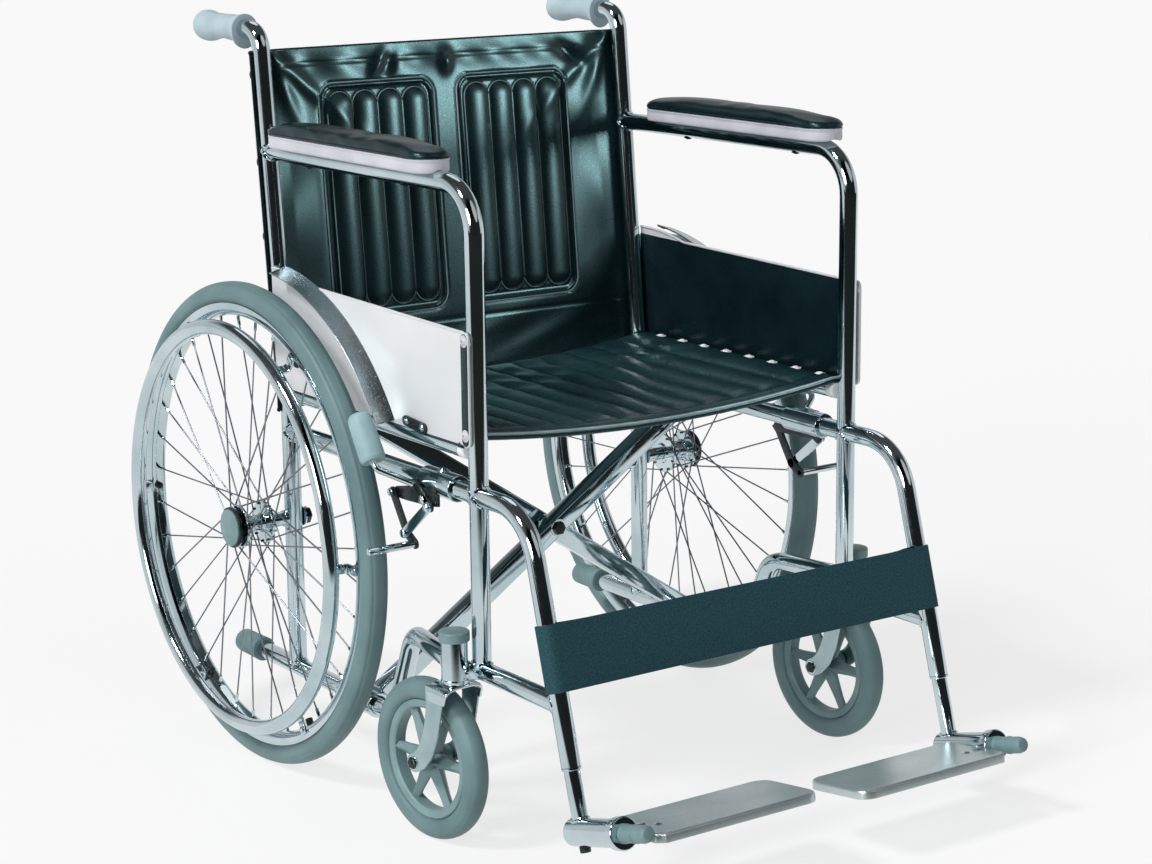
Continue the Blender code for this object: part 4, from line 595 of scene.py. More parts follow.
def bar_lines(start, end, half):
    """The two long edges of a flat bar with half round ends between two (y, z) points."""
    start, end = np.asarray(start, float), np.asarray(end, float)
    ahead = unit(end - start)
    aside = np.array((-ahead[1], ahead[0]))
    t = np.linspace(0, np.pi / 2, 7)[:, None]
    grow = np.concatenate([np.sin(t), np.sin(t[::-1])])
    middle = np.concatenate([start - ahead * half * np.cos(t), end + ahead * half * np.cos(t[::-1])])
    return middle + aside * half * grow, middle - aside * half * grow


for side, tag in SIDES:
    y = np.linspace(SKIRT_FRONT_Y, SKIRT_BACK_Y, 60)
    share = (y - SKIRT_FRONT_Y) / (SKIRT_BACK_Y - SKIRT_FRONT_Y)
    nose = 0.012 * (1 - np.sqrt(1 - (1 - np.clip(share / 0.03, 0, 1)) ** 2))
    arc_z = WHEEL_R + np.sqrt(ARCH_R ** 2 - np.clip(y, SKIRT_KNEE_Y, 0.01) ** 2)
    slope = (arc_z.min() - SKIRT_FRONT_Z) / (SKIRT_KNEE_Y - SKIRT_FRONT_Y)
    straight = SKIRT_FRONT_Z + (y - SKIRT_FRONT_Y) * slope
    top = np.stack([y, np.where(y < SKIRT_KNEE_Y, straight, arc_z) - nose], 1)
    foot = np.stack([y, SKIRT_LOW_Z + nose * 0.3], 1)
    outer = strip(foot, top, side * (SKIRT_IN_X + 0.0008), side * SKIRT_OUT_X, 0.0003)
    lined = np.stack([y, straight], 1)
    inner = strip(foot[3:], lined[3:], side * SKIRT_IN_X, side * (SKIRT_IN_X + 0.0009), 0.0002)
    hem = np.stack([0 * y + side * (SKIRT_OUT_X - 0.0006), *top.T], 1)
    roll = carried(circle(0.0017, 10), hem)
    t = np.linspace(math.radians(94.5), math.radians(147.6), 48)
    arch_line = np.stack([np.cos(t), np.sin(t)], 1) * ARCH_R + (0, WHEEL_R)
    curve = np.stack([0 * t + side * (SKIRT_OUT_X + ARCH_OUT / 2 - 0.0004), *arch_line.T], 1)
    outward = np.stack([0 * t, np.cos(t), np.sin(t)], 1)
    section = box_loop(ARCH_OUT, 0.0012, 0.0005)
    # The strip's underside is lined dark as painted shade, standing for the shadow under the strip.
    shade_lining = box_loop(ARCH_OUT - 0.0014, 0.0006, 0.0002)
    for loop in (section, shade_lining):
        loop[:, 1] += 0.0050 * np.clip(0.15 - loop[:, 0] * side / ARCH_OUT, 0, 1) ** 2 * 3
    arch = carried(section, curve + outward * 0.0008, X_AXIS)
    under = carried(shade_lining, curve - outward * 0.0002, X_AXIS)
    edge_x = side * (SKIRT_OUT_X - 0.0004), side * (SKIRT_OUT_X + 0.0026)
    low, high = SKIRT_LOW_Z - 0.0015, SKIRT_FRONT_Z + 0.0015
    edge_ends = (EDGE_STRIP_Y, low + EDGE_STRIP_HALF), (EDGE_STRIP_Y, high - EDGE_STRIP_HALF)
    edge_strip = strip(*bar_lines(*edge_ends, EDGE_STRIP_HALF), *edge_x)
    facing = strip(*bar_lines(*edge_ends, 0.0066), edge_x[1] - side * 0.0003,
                   edge_x[1] + side * 0.0004, 0.0002)
    clip_x = side * (SKIRT_OUT_X - 0.0004), side * (SKIRT_OUT_X + 0.0030)
    clip_at = np.array((-0.318, 0.474))
    clip = strip(*bar_lines(clip_at - (0.018, 0.001), clip_at + (0.020, 0.002), 0.0060), *clip_x)
    bolts = [screw_head((edge_x[1], EDGE_STRIP_Y, z), X_AXIS * side, 0.0048, 0.0030)
             for z in (0.480, 0.586)]
    clips = [screw_head((clip_x[1], clip_at[0] + dy, clip_at[1] + dz), X_AXIS * side, 0.0032, 0.0018)
             for dy, dz in ((-0.016, 0), (0.017, 0.002))]
    piece("guard_panel_" + tag,
          [outer, inner, roll, arch, under, edge_strip, facing, clip, *bolts, *clips],
          [silver, vinyl, silver, arch_metal, dark_steel, silver, vinyl, dark_steel,
           *[pad_plastic] * 2, *[chrome] * 2], "frame_" + tag, ["skirt_guard_" + tag])

# Wheel locks
# A clamp on the side rail carries a toggle of flat plates, riveted so that pushing the hand
# lever drives the chromed shoe bar into the tyre. The lever's rod has a large pale grip.
LEVER_PIVOT = np.array((-0.340, 0.392))
SHOE_PIVOT = np.array((-0.272, 0.388))
LINK_END = np.array((-0.3005, 0.345))
LEVER_KNEE = np.array((-0.318, 0.406))
CRANK_PIN = LEVER_PIVOT + 0.013 * np.array((math.cos(math.radians(-150)), -0.5))
LAYERS = ((0.0140, 0.0165), (0.0168, 0.0198), (0.0201, 0.0226), (0.0229, 0.0249))
GRIP_FOOT = np.array((-0.2970, 0.425))
GRIP_HEAD = np.array((-0.2619, 0.478))
LOCK_GRIP_X = HALF + 0.055
LINK_HALF = 0.0062
RIVET_R = 0.0052
CLAMP_R = 0.0155
turn = math.radians(-12.5)
locked = np.array((-math.sqrt(0.30625 ** 2 - 0.027 ** 2), 0.327)) - SHOE_PIVOT
SHOE_BAR = SHOE_PIVOT + np.array((
    locked[0] * math.cos(turn) - locked[1] * math.sin(turn),
    locked[0] * math.sin(turn) + locked[1] * math.cos(turn)))
grip_rubber = finish_of(
    "grip_rubber", (0.24, 0.38, 0.40), (0.33, 0.48, 0.50), (0.42, 0.56), 0.03, 0.0011, 0.00005,
    Specular_IOR_Level=0.4)


def link_bar(layer, start, end):
    """A flat bar with round ends between two (y, z) points, from layer[0] to layer[1] in x."""
    return strip(*bar_lines(start, end, LINK_HALF), *layer, 0.0007)


def rivet(layer, point, out):
    """A rivet's low dome, standing on the outside of a layer at a (y, z) point."""
    dome = [(0, 0.0021), (RIVET_R * 0.5, 0.0019), (RIVET_R * 0.85, 0.0012), (RIVET_R, 0.0003),
            (RIVET_R, 0), (0.003, -0.0003), (0.003, -0.006), (0, -0.006)]
    return turned(dome, (layer[1], *point), out, 20)


def bush(inner, outer, low, high, edges, centre, axis, sides):
    """A ring with a round bore, from low to high along an axis, its corners rounded by edges."""
    profile = [(inner, low), (outer, low), (outer, high), (inner, high), (inner, low)]
    return turned(rounded(profile, edges), centre, axis, sides)


for side, tag in SIDES:
    x = side * HALF
    layer = [(side * (HALF + inner), side * (HALF + outer)) for inner, outer in LAYERS]
    out = X_AXIS * side
    clamp = bush(TUBE_R + 0.0002, CLAMP_R, -0.385, -0.318, [0.0012, 0.0012, 0.0006],
                 (x, 0, SIDE_RAIL_Z), Y_AXIS, 32)
    low_line = [(-0.366, 0.388), (-0.352, 0.3855), (-0.300, 0.3825), (-0.272, 0.382), (-0.266, 0.388)]
    high_line = [(-0.366, 0.402), (-0.350, 0.404), (-0.318, 0.404), (-0.275, 0.395), (-0.266, 0.388)]
    plate = strip(low_line, high_line, *layer[0], 0.0007)
    lug = carried(box_loop(0.020, 0.0030, 0.001), [(x + side * 0.0100, -0.352, 0.4235),
                                                   (x + side * 0.0160, -0.352, 0.4020)], Y_AXIS)
    bolt = screw_head((x, -0.352, 0.4250), Z_AXIS, 0.0050, 0.0034)
    rivets = [rivet(layer[2], pivot, out) for pivot in (LEVER_PIVOT, SHOE_PIVOT)]
    piece("lock_clamp_" + tag, [clamp, plate, lug, bolt, *rivets],
          [chrome, dark_steel, dark_steel, chrome, chrome, chrome], "frame_" + tag,
          ["lock_bracket_" + tag])
    rod_line = rounded([(layer[1][1] - side * 0.001, *LEVER_KNEE), (side * LOCK_GRIP_X, *GRIP_FOOT),
                        (side * LOCK_GRIP_X, *GRIP_HEAD)], [0.010])
    lever = [link_bar(layer[1], LEVER_PIVOT, LEVER_KNEE), link_bar(layer[1], CRANK_PIN, LEVER_PIVOT),
             carried(circle(0.004, 16), rod_line, X_AXIS + Z_AXIS), rivet(layer[3], CRANK_PIN, out)]
    body = "lock_lever_" + tag + "_body"
    piece("lock_handle_" + tag, lever, [dark_steel, dark_steel, chrome, chrome], body,
          ["lock_lever_" + tag])
    foot = np.array((side * LOCK_GRIP_X, *GRIP_FOOT))
    along = unit(np.array((side * LOCK_GRIP_X, *GRIP_HEAD)) - foot)
    grip_shape = [(0, 0.006), (0.0045, 0.006), (0.0050, 0.0085), (0.0132, 0.0092), (0.0150, 0.0125),
                  (0.0152, 0.020), (0.0149, 0.034), (0.0146, 0.050), (0.0142, 0.058),
                  (0.0132, 0.0640), (0.0105, 0.0675), (0.0060, 0.0685), (0, 0.0688)]
    grip = turned(rounded(grip_shape, 0.0008), foot, along, 40)
    piece("lock_knob_" + tag, [grip], grip_rubber, body, ["lock_grip_" + tag])
    piece("lock_rod_" + tag, [link_bar(layer[2], CRANK_PIN, LINK_END)], chrome,
          "lock_link_" + tag + "_body", ["lock_link_" + tag])
    bar_line = [(layer[1][0], *SHOE_BAR), (side * (HALF + 0.081), *SHOE_BAR)]
    shoe = [link_bar(layer[1], SHOE_PIVOT, LINK_END), link_bar(layer[1], LINK_END, SHOE_BAR),
            carried(circle(0.0045, 20), bar_line, Z_AXIS, edge=0.0012), rivet(layer[3], LINK_END, out)]
    piece("lock_striker_" + tag, shoe, [dark_steel, dark_steel, chrome, chrome],
          "lock_shoe_" + tag + "_body", ["lock_shoe_" + tag])

# Rear wheels
# Chromed steel rim laced to a two-flange hub by 36 crossed spokes with nipples, a grey solid
# tyre, a grey hub cap, and a chromed handrim held off the rim by six tabs with black nuts.
WHEEL_X = HALF + 0.055
RIM_INNER_R = 0.2590
SPOKES = 36
FLANGE_HOLES_R = 0.0240
LACING = math.radians(68)
TABS = 6
SPOKE_R = 0.0010
HANDRIM_X = HALF + 0.090
HANDRIM_R = 0.248
FLANGES = np.array((0.042, 0.076))
tyre_grey = finish_of(
    "tyre_grey", (0.10, 0.17, 0.18), (0.16, 0.26, 0.27), (0.38, 0.54), 0.10, 0.0009, 0.00005,
    Specular_IOR_Level=0.35)
spoke_steel = finish_of(
    "spoke_steel", (0.17, 0.19, 0.22), (0.28, 0.30, 0.34), (0.34, 0.48), 0.05, 0.001, 0.00001,
    Metallic=0.9)


def tyre_loop(radius, depth, width, groove=0.0009, lines=(0.52, -0.52, 0.90, -0.90)):
    """A tyre's closed (radius, height) outline: a superellipse that is blunt on the tread side and
    shallow on the rim side, with fine round grooves at the given shares of its width."""
    t = np.linspace(-np.pi / 2, 1.5 * np.pi, 73)
    power = 2 / 2.35
    up, out = np.sin(t), np.cos(t)
    tall = np.where(up > 0, depth * 0.60, depth * 0.40)
    height = width / 2 * np.sign(out) * np.abs(out) ** power
    ring = radius - depth * 0.60 + tall * np.sign(up) * np.abs(up) ** power
    for line in lines:
        ring = ring - groove * (up > 0) * np.exp(-((height - line * width / 2) / 0.0009) ** 2)
    return np.stack([ring, height], 1)


def disc(radius, low, high, centre, axis, sides, edge=0):
    """A round disc or pin, from low to high along an axis, its rims rounded by edge."""
    profile = [(0, low), (radius, low), (radius, high), (0, high)]
    return turned(rounded(profile, edge) if edge else profile, centre, axis, sides)


def mirrored(half):
    """A (radius, height) outline: the half as given, then back with every height's sign turned."""
    half = np.array(half)
    return np.concatenate([half, half[::-1] * (1, -1)])


def wires(starts, ends, radius, sides=6):
    """Straight round wires between rows of points, as one closed grid for each."""
    return [carried(circle(radius, sides), [start, end], Z_AXIS + X_AXIS, edge=radius * 0.3)
            for start, end in zip(starts, ends)]


for side, tag in SIDES:
    x = side * HALF
    out = X_AXIS * side
    hub_at = np.array((x, 0, WHEEL_R))
    rim_at = np.array((side * WHEEL_X, 0, WHEEL_R))
    nut = turned([(0, -0.0245), (0.0050, -0.0240), (0.0066, -0.0225), (0.0066, -0.0215),
                  (0.0098, -0.0212), (0.0108, -0.0200), (0.0108, -0.0124), (0, -0.0124)],
                 hub_at, out, 6)
    washer = disc(0.0125, -0.0128, -0.0112, hub_at, out, 32)
    spacer = turned(rounded([(0, 0.0108), (0.0105, 0.0108), (0.0105, 0.0150), (0.0090, 0.0150),
                             (0.0090, 0.0355), (0, 0.0355)], 0.0004), hub_at, out, 32)
    piece("axle_bolt_" + tag, [nut, washer, spacer], [dark_steel, chrome, chrome], "frame_" + tag,
          ["wheel_axle_" + tag])

    barrel = rounded([(0.0066, 0.060), (0.0066, 0.0362), (0.0120, 0.0362), (0.0140, 0.0392),
                      (0.0265, 0.0400), (0.0265, 0.0440), (0.0120, 0.0455), (0.0098, 0.0490),
                      (0.0098, 0.0600), (0.0128, 0.0612), (0.0128, 0.0715), (0.0150, 0.0735),
                      (0.0265, 0.0740), (0.0265, 0.0780), (0.0150, 0.0795), (0.0140, 0.0850),
                      (0, 0.0850)], 0.0006)
    barrel = np.concatenate([[(0, 0.060)], barrel])
    cap_ring = rounded([(0, 0.0835), (0.0240, 0.0835), (0.0252, 0.0850), (0.0252, 0.0878),
                        (0.0236, 0.0884), (0, 0.0884)], 0.0005)
    cap_face = rounded([(0, 0.0876), (0.0228, 0.0876), (0.0228, 0.0905), (0.0160, 0.0918),
                        (0, 0.0922)], [0.0003, 0.0012, 0.01])
    number = np.arange(SPOKES)
    rim_turn = 2 * np.pi * (number + 0.5) / SPOKES
    lead = np.where((number // 2) % 2 == 0, 1, -1)
    hub_turn = rim_turn + lead * LACING
    inset = side * (HALF + FLANGES[number % 2] + lead * 0.0018)
    starts = np.stack([inset, FLANGE_HOLES_R * np.cos(hub_turn),
                       WHEEL_R + FLANGE_HOLES_R * np.sin(hub_turn)], 1)
    ends = np.stack([0 * inset + side * WHEEL_X, RIM_INNER_R * np.cos(rim_turn),
                     WHEEL_R + RIM_INNER_R * np.sin(rim_turn)], 1)
    along = unit(ends - starts)
    lacing = wires(starts, ends, SPOKE_R)
    heads = wires(starts - out * 0.0026, starts + out * 0.0026, 0.0016)
    nipples = wires(ends - along * 0.013, ends, 0.0021)
    grids = [turned(profile, hub_at, out) for profile in (barrel, cap_ring, cap_face)]
    piece("hub_spokes_" + tag, [*grids, *lacing, *heads, *nipples],
          [chrome, dark_steel, castor_plastic, *[spoke_steel] * SPOKES, *[dark_steel] * SPOKES,
           *[chrome] * SPOKES], "rear_wheel_" + tag, ["wheel_hub_" + tag])

    rim = rounded(
        mirrored([(RIM_INNER_R, 0), (RIM_INNER_R, 0.0050), (0.2610, 0.0090), (0.2665, 0.0125),
                  (0.2752, 0.0125), (0.2752, 0.0112), (0.2722, 0.0104)]),
        [0.002, 0.003, 0.003, *[0.0005] * 6, 0.003, 0.003, 0.002], math.radians(25))
    t = 2 * np.pi * (np.arange(TABS) + 0.5) / TABS
    spin = np.stack([0 * t, -np.sin(t), np.cos(t)], 1)
    nuts = wires(rim_at + spin * 0.2510 + out * 0.003, rim_at + spin * 0.2600 + out * 0.003, 0.0046, 12)
    piece("rim_hoop_" + tag, [turned(rim, rim_at, out, 144), *nuts], [chrome, *[dark_steel] * TABS],
          "rear_wheel_" + tag, ["wheel_rim_" + tag])
    piece("tyre_ring_" + tag, [turned(tyre_loop(WHEEL_R, 0.027, 0.032), rim_at, out, 160)],
          tyre_grey, "rear_wheel_" + tag, ["wheel_tyre_" + tag])

    hoop_at = np.array((side * HANDRIM_X, 0, WHEEL_R))
    hoop = turned(circle(0.0095, 28) + (HANDRIM_R, 0), hoop_at, out, 144)
    tabs = []
    for ray in spin:
        foot = rim_at + out * 0.0140 + ray * 0.2690
        knee = rim_at + out * 0.0140 + ray * 0.2490
        tabs.append(carried(box_loop(0.0120, 0.0026, 0.0008),
                            rounded([foot, knee, hoop_at - out * 0.0070 + ray * HANDRIM_R], [0.005]),
                            np.cross(out, ray)))
        tabs.append(turned([(0, 0.0030), (0.0022, 0.0029), (0.0038, 0.0020), (0.0040, 0), (0, -0.001)],
                           foot + out * 0.0013 - ray * 0.0060, out, 12))
    piece("handrim_hoop_" + tag, [hoop, *tabs], chrome, "rear_wheel_" + tag,
          ["handrim_" + tag])

# Castors
# A steel fork, pressed from flat bar with rounded shoulders, swivels on its stem. Its banana
# shaped legs trail back to the axle of a six-spoked grey plastic wheel with a grey solid tyre.
CASTOR_R = 0.095
CASTOR_TRAIL = 0.046
CASTOR_YAW = {-1: math.radians(5.4), 1: math.radians(3.0)}
CROWN_HIGH_Z = 0.1957
LEG_X = 0.026
LEG_NOSE = 0.0110
CASTOR_SPOKES = 6
fork_steel = finish_of(
    "fork_steel", (0.34, 0.47, 0.49), (0.48, 0.60, 0.62), (0.16, 0.27), 0.05, 0.0018, 0.00003,
    Metallic=0.85)


def swivelled(grid, side):
    """A castor's points, about its stem, turned by its yaw and moved to the stem's place."""
    turn = CASTOR_YAW[side]
    spin = np.array([[math.cos(turn), math.sin(turn), 0], [-math.sin(turn), math.cos(turn), 0],
                     [0, 0, 1]])
    return grid @ spin + (side * CASTOR_X, CASTOR_Y, 0)


for side, tag in SIDES:
    body = "castor_" + tag
    top, knee, axle = (np.array(point) for point in (
        (0.0040, CROWN_HIGH_Z - 0.003), (0.0100, 0.1070), (CASTOR_TRAIL, CASTOR_R)))
    t = np.linspace(0, 1, 22)[:, None]
    middle = top * (1 - t) ** 2 + knee * 2 * t * (1 - t) + axle * t ** 2
    slope = unit((knee - top) * 2 * (1 - t) + (axle - knee) * 2 * t)
    aside = np.stack([-slope[:, 1], slope[:, 0]], 1)
    half = 0.0136 * (1 - 0.18 * t) + 0.0026 * np.exp(-(t / 0.12) ** 2)
    end_turn = np.linspace(0, np.pi / 2, 8)[1:, None]
    nose = axle + slope[-1] * LEG_NOSE * np.sin(end_turn)
    nose_half = aside[-1] * LEG_NOSE * np.cos(end_turn)
    left = np.concatenate([middle + aside * half, nose + nose_half])
    right = np.concatenate([middle - aside * half, nose - nose_half])
    legs = [strip(left, right, end * (LEG_X - 0.0015), end * (LEG_X + 0.0015), 0.0009)
            for end in (-1, 1)]
    crown_line = rounded([(-0.0262, 0.0015, 0.1760), (-0.0262, 0.0015, 0.1912),
                          (-0.0120, 0.0015, 0.1941), (0.0120, 0.0015, 0.1941),
                          (0.0262, 0.0015, 0.1912), (0.0262, 0.0015, 0.1760)],
                         [0.0085, 0.012, 0.012, 0.0085], math.radians(10))
    drop = np.clip((0.1900 - crown_line[:, 2]) / 0.012, 0, 1)
    scale = np.stack([1 - 0.24 * drop, 0 * drop + 1], 1)
    crown = carried(box_loop(0.0370, 0.0034, 0.0012), crown_line, Y_AXIS, 0.0008, scale=scale)
    race = disc(0.0150, 0.1950, 0.1962, (0, 0, 0), Z_AXIS, 32, 0.0004)
    stem = carried(circle(0.008, 16), [(0, 0, 0.1940), (0, 0, 0.2425)])
    at_axle = (0, CASTOR_TRAIL, CASTOR_R)
    pin = carried(circle(0.0044, 16), [(-0.0275, *at_axle[1:]), (0.0275, *at_axle[1:])], Z_AXIS)
    nuts = []
    for end in (-1, 1):
        nuts.append(disc(0.0084, 0.0270, 0.0282, at_axle, X_AXIS * end, 24, 0.0003))
        nuts.append(turned([(0, 0.0280), (0.0072, 0.0280), (0.0072, 0.0298), (0.0060, 0.0308),
                            (0.0034, 0.0310), (0.0034, 0.0316), (0, 0.0318)],
                           at_axle, X_AXIS * end, 6))
    grids = [swivelled(grid, side) for grid in (*legs, crown, race, stem, pin, *nuts)]
    piece("fork_pressing_" + tag, grids,
          [fork_steel, fork_steel, chrome, dark_steel, chrome, chrome, chrome, dark_steel,
           chrome, dark_steel], body, ["castor_fork_" + tag])

    ring = rounded(mirrored([(0.0600, 0), (0.0600, 0.0072), (0.0622, 0.0090), (0.0685, 0.0098),
                             (0.0700, 0.0090)]), 0.0007)
    hub = rounded(mirrored([(0.0047, -0.010), (0.0047, -0.0234), (0.0098, -0.0234), (0.0112, -0.0215),
                            (0.0142, -0.0110)]), 0.0008)
    hub = np.concatenate([[(0, -0.010)], hub, [(0, 0.010)]])
    ridged = np.array([(0.0082, 0), (0.0020, 0.0066), (-0.0020, 0.0066), (-0.0082, 0),
                       (-0.0020, -0.0066), (0.0020, -0.0066), (0.0082, 0)])
    t = 2 * np.pi * (np.arange(CASTOR_SPOKES) + 0.5) / CASTOR_SPOKES
    spokes = []
    for ray in np.stack([0 * t, -np.sin(t), np.cos(t)], 1):
        share = np.array((0, 0.15, 0.4, 0.7, 0.92, 1))[:, None]
        scale = 1.50 - 0.80 * share ** 0.8 + 0.25 * np.clip((share - 0.85) / 0.15, 0, 1)
        spokes.append(carried(ridged, at_axle + ray * (0.010 + 0.0515 * share),
                              X_AXIS, 0.0005, scale=scale * (1, 1)))
    grids = [swivelled(grid, side) for grid in (
        turned(ring, at_axle, X_AXIS, 72), turned(hub, at_axle, X_AXIS, 32), *spokes)]
    piece("castor_star_" + tag, grids, castor_plastic, "castor_wheel_" + tag + "_body",
          ["castor_wheel_" + tag])
    tyre = turned(tyre_loop(CASTOR_R, 0.026, 0.028, 0.0005, (0.80, -0.80)), at_axle, X_AXIS, 112)
    piece("castor_rubber_" + tag, [swivelled(tyre, side)], tyre_grey,
          "castor_wheel_" + tag + "_body", ["castor_tyre_" + tag])

# Footrests
# A thinner chromed tube slides in each hanger and ends in a crosswise barrel with a grey plug.
# The pressed, polished aluminium plate flips up on a ring that turns on the barrel's rod.
FOOT_TUBE_R = 0.0092
FOOT_EXTRA = {-1: 0.0, 1: 0.014}
BARREL_R = 0.0158
BARREL_FRONT = 0.068
RING_OUT = BARREL_FRONT + 0.0063
RING_R = 0.0186
PLATE_HEEL = 0.0176
PLATE_TOE = 0.1196
PLATE_OUTER = 0.0174
PLATE_REACH = 0.238
PLATE_CORNER_R = 0.018
PLATE_TILT = math.radians(8)
polished = finish_of(
    "polished_aluminium", (0.50, 0.60, 0.62), (0.68, 0.76, 0.77), (0.24, 0.38), 0.08, 0.0022,
    0.00003, stretch=(1, 30, 30), Metallic=0.85)
for side, tag in SIDES:
    body = "foot_slide_" + tag
    hanger_end = np.array((side * HALF, hanger_y(HANGER_END_Z), HANGER_END_Z))
    pivot = hanger_end + HANGER_DOWN * (0.0676 + FOOT_EXTRA[side])
    tube_top = hanger_end - HANGER_DOWN * (0.100 - FOOT_EXTRA[side])
    tube = carried(circle(FOOT_TUBE_R), [tube_top, pivot + HANGER_DOWN * 0.010])
    stub = carried(circle(0.0062), [pivot, pivot + HANGER_DOWN * 0.0222])
    barrel = disc(BARREL_R, -0.0150, BARREL_FRONT, pivot, FOOT_AHEAD, 32, 0.0012)
    bead = weld_bead(pivot, FOOT_AHEAD, -HANGER_DOWN, FOOT_TUBE_R, BARREL_R)
    rod = disc(0.008, 0.060, 0.090, pivot, FOOT_AHEAD, 24)
    plug = turned(rounded([(0, 0.0806), (0.0108, 0.0806), (0.0108, 0.0840), (0.0098, 0.0850),
                           (0.0098, 0.1180), (0.0080, 0.1250), (0, 0.1256)],
                          [0.0006, 0.0006, 0.0006, 0.006, 0.003]), pivot, FOOT_AHEAD, 32)
    band = turned([(0.0100, 0.1000), (0.0104, 0.1004), (0.0104, 0.1036), (0.0100, 0.1040),
                   (0.0090, 0.1040), (0.0090, 0.1000), (0.0100, 0.1000)], pivot, FOOT_AHEAD, 32)
    bolt = screw_head(pivot - FOOT_AHEAD * 0.0150, -FOOT_AHEAD, 0.0050, 0.0028)
    piece("extension_" + tag, [tube, stub, barrel, bead, rod, plug, band, bolt],
          [chrome, dark_steel, chrome, chrome, chrome, castor_plastic, castor_plastic, dark_steel],
          body, ["foot_tube_" + tag])

    inward = X_AXIS * -side
    ring_at = pivot + FOOT_AHEAD * RING_OUT
    level = FOOT_AHEAD * math.cos(PLATE_TILT) + HANGER_DOWN * math.sin(PLATE_TILT)
    under = HANGER_DOWN * math.cos(PLATE_TILT) - FOOT_AHEAD * math.sin(PLATE_TILT)
    heel, toe = PLATE_HEEL - RING_OUT, PLATE_TOE - RING_OUT
    loop = rounded(
        [(PLATE_OUTER + 0.009, heel), (PLATE_REACH, heel), (PLATE_REACH, toe),
         (PLATE_OUTER + 0.009, toe), (PLATE_OUTER, toe - 0.009), (PLATE_OUTER, heel + 0.009),
         (PLATE_OUTER + 0.009, heel)], [PLATE_CORNER_R, PLATE_CORNER_R, 0.004, 0.004, 0.004])
    middle = (heel + toe) / 2
    spine = np.stack([np.clip(loop[:, 0], PLATE_OUTER + 0.045, PLATE_REACH - 0.050),
                      0 * loop[:, 1] + middle], 1)
    t = np.radians((0, 22, 45, 68, 90))
    roll = np.stack([0.945 + 0.055 * np.sin(t), 0.0030 * (1 - np.cos(t)) - 0.0015], 1)
    hem = [(1.0, 0.0085), (0.985, 0.0090), (0.972, 0.0085), (0.972, 0.0030)]
    tread = [(0, -0.0010), (0.6, -0.0011), (0.88, -0.0014)]
    profile = np.concatenate([tread, roll, hem, [(0.93, 0.0012), (0, 0.0014)]])
    plate = slab(loop, spine, profile, ring_at, (inward, level, under))
    ring = bush(0.0084, RING_R, -0.0060, 0.0060, [0.0018, 0.0018, 0.0004], ring_at, FOOT_AHEAD, 40)
    lug = carried(box_loop(0.0098, 0.0110, 0.0025), [ring_at + inward * 0.0130,
                                                     ring_at + inward * 0.0300], FOOT_AHEAD)
    rivets = [screw_head(ring_at + inward * reach + level * 0.004 - under * 0.0012, -under, 0.0034,
                         0.0016) for reach in (0.030, 0.046)]
    piece("tread_plate_" + tag, [plate, ring, lug, *rivets],
          [polished, chrome, chrome, chrome, chrome], "footplate_" + tag + "_body",
          ["footplate_" + tag])

# Cross braces, seat rails and the centre bolt
# Two square steel tubes cross on one bolt. Each is welded to a sleeve that turns on a lower rail
# and to the seat rail on the other side; a white plug closes each seat rail's front.
SEAT_RAIL_Z = 0.460
SEAT_RAIL_FRONT_Y = -0.398
SEAT_RAIL_BACK_Y = -0.022
BRACE_SIZE = 0.024
SLEEVE_R = 0.0155
SLEEVE_FRONT_Y = -0.196
SLEEVE_BACK_Y = -0.116
BRACE_Y = {"front": -0.180, "back": -0.153}
white_plastic = finish_of(
    "white_plastic", (0.78, 0.79, 0.82), (0.86, 0.87, 0.89), (0.32, 0.42), 0.02, 0.001, 0.00002)
for side, place, plug_tag in ((-1, "front", "left"), (1, "back", "right")):
    y = BRACE_Y[place]
    foot = np.array((side * HALF, y, LOWER_RAIL_Z))
    head = np.array((-side * HALF, y, SEAT_RAIL_Z))
    along = unit(head - foot)
    arm = carried(box_loop(BRACE_SIZE, BRACE_SIZE, 0.0030),
                  [foot + along * 0.0135, head - along * 0.0050], Y_AXIS)
    sleeve = bush(TUBE_R + 0.0004, SLEEVE_R, SLEEVE_FRONT_Y, SLEEVE_BACK_Y,
                  [0.0012, 0.0012, 0.0004], (foot[0], 0, foot[2]), Y_AXIS, 40)
    rail = carried(circle(TUBE_R, 28), [(head[0], SEAT_RAIL_FRONT_Y, head[2]),
                                        (head[0], SEAT_RAIL_BACK_Y, head[2])])
    seam = carried(circle(0.0018, 8), foot + along * 0.0150 + box_loop(0.0245, 0.0245, 0.004)
                   @ np.stack([Y_AXIS, np.cross(along, Y_AXIS)]), along, closed=True)
    collar = carried(circle(0.0018, 8), head - along * 0.0108 + box_loop(0.0240, 0.0220, 0.004)
                     @ np.stack([Y_AXIS, np.cross(along, Y_AXIS)]), along, closed=True)
    screws = [screw_head((head[0], at, head[2] + TUBE_R + 0.0032), Z_AXIS, 0.0050, 0.0026)
              for at in np.linspace(-0.375, -0.050, 8)]
    body = "brace_" + place + "_arm"
    piece("brace_tube_" + place, [arm, sleeve, rail, seam, collar], chrome, body,
          ["brace_" + place])
    piece("seat_screws_" + plug_tag, screws, white_plastic, body)
    plug = turned(rounded([(0, -0.4103), (0.0098, -0.4103), (0.0112, -0.4090), (0.0112, -0.3983),
                           (0, -0.3983)], 0.0009), (head[0], 0, head[2]), Y_AXIS, 32)
    piece("rail_cap_" + plug_tag, [plug], white_plastic, body,
          ["seat_rail_plug_" + plug_tag])
bolt_at = (0, 0, (LOWER_RAIL_Z + SEAT_RAIL_Z) / 2)
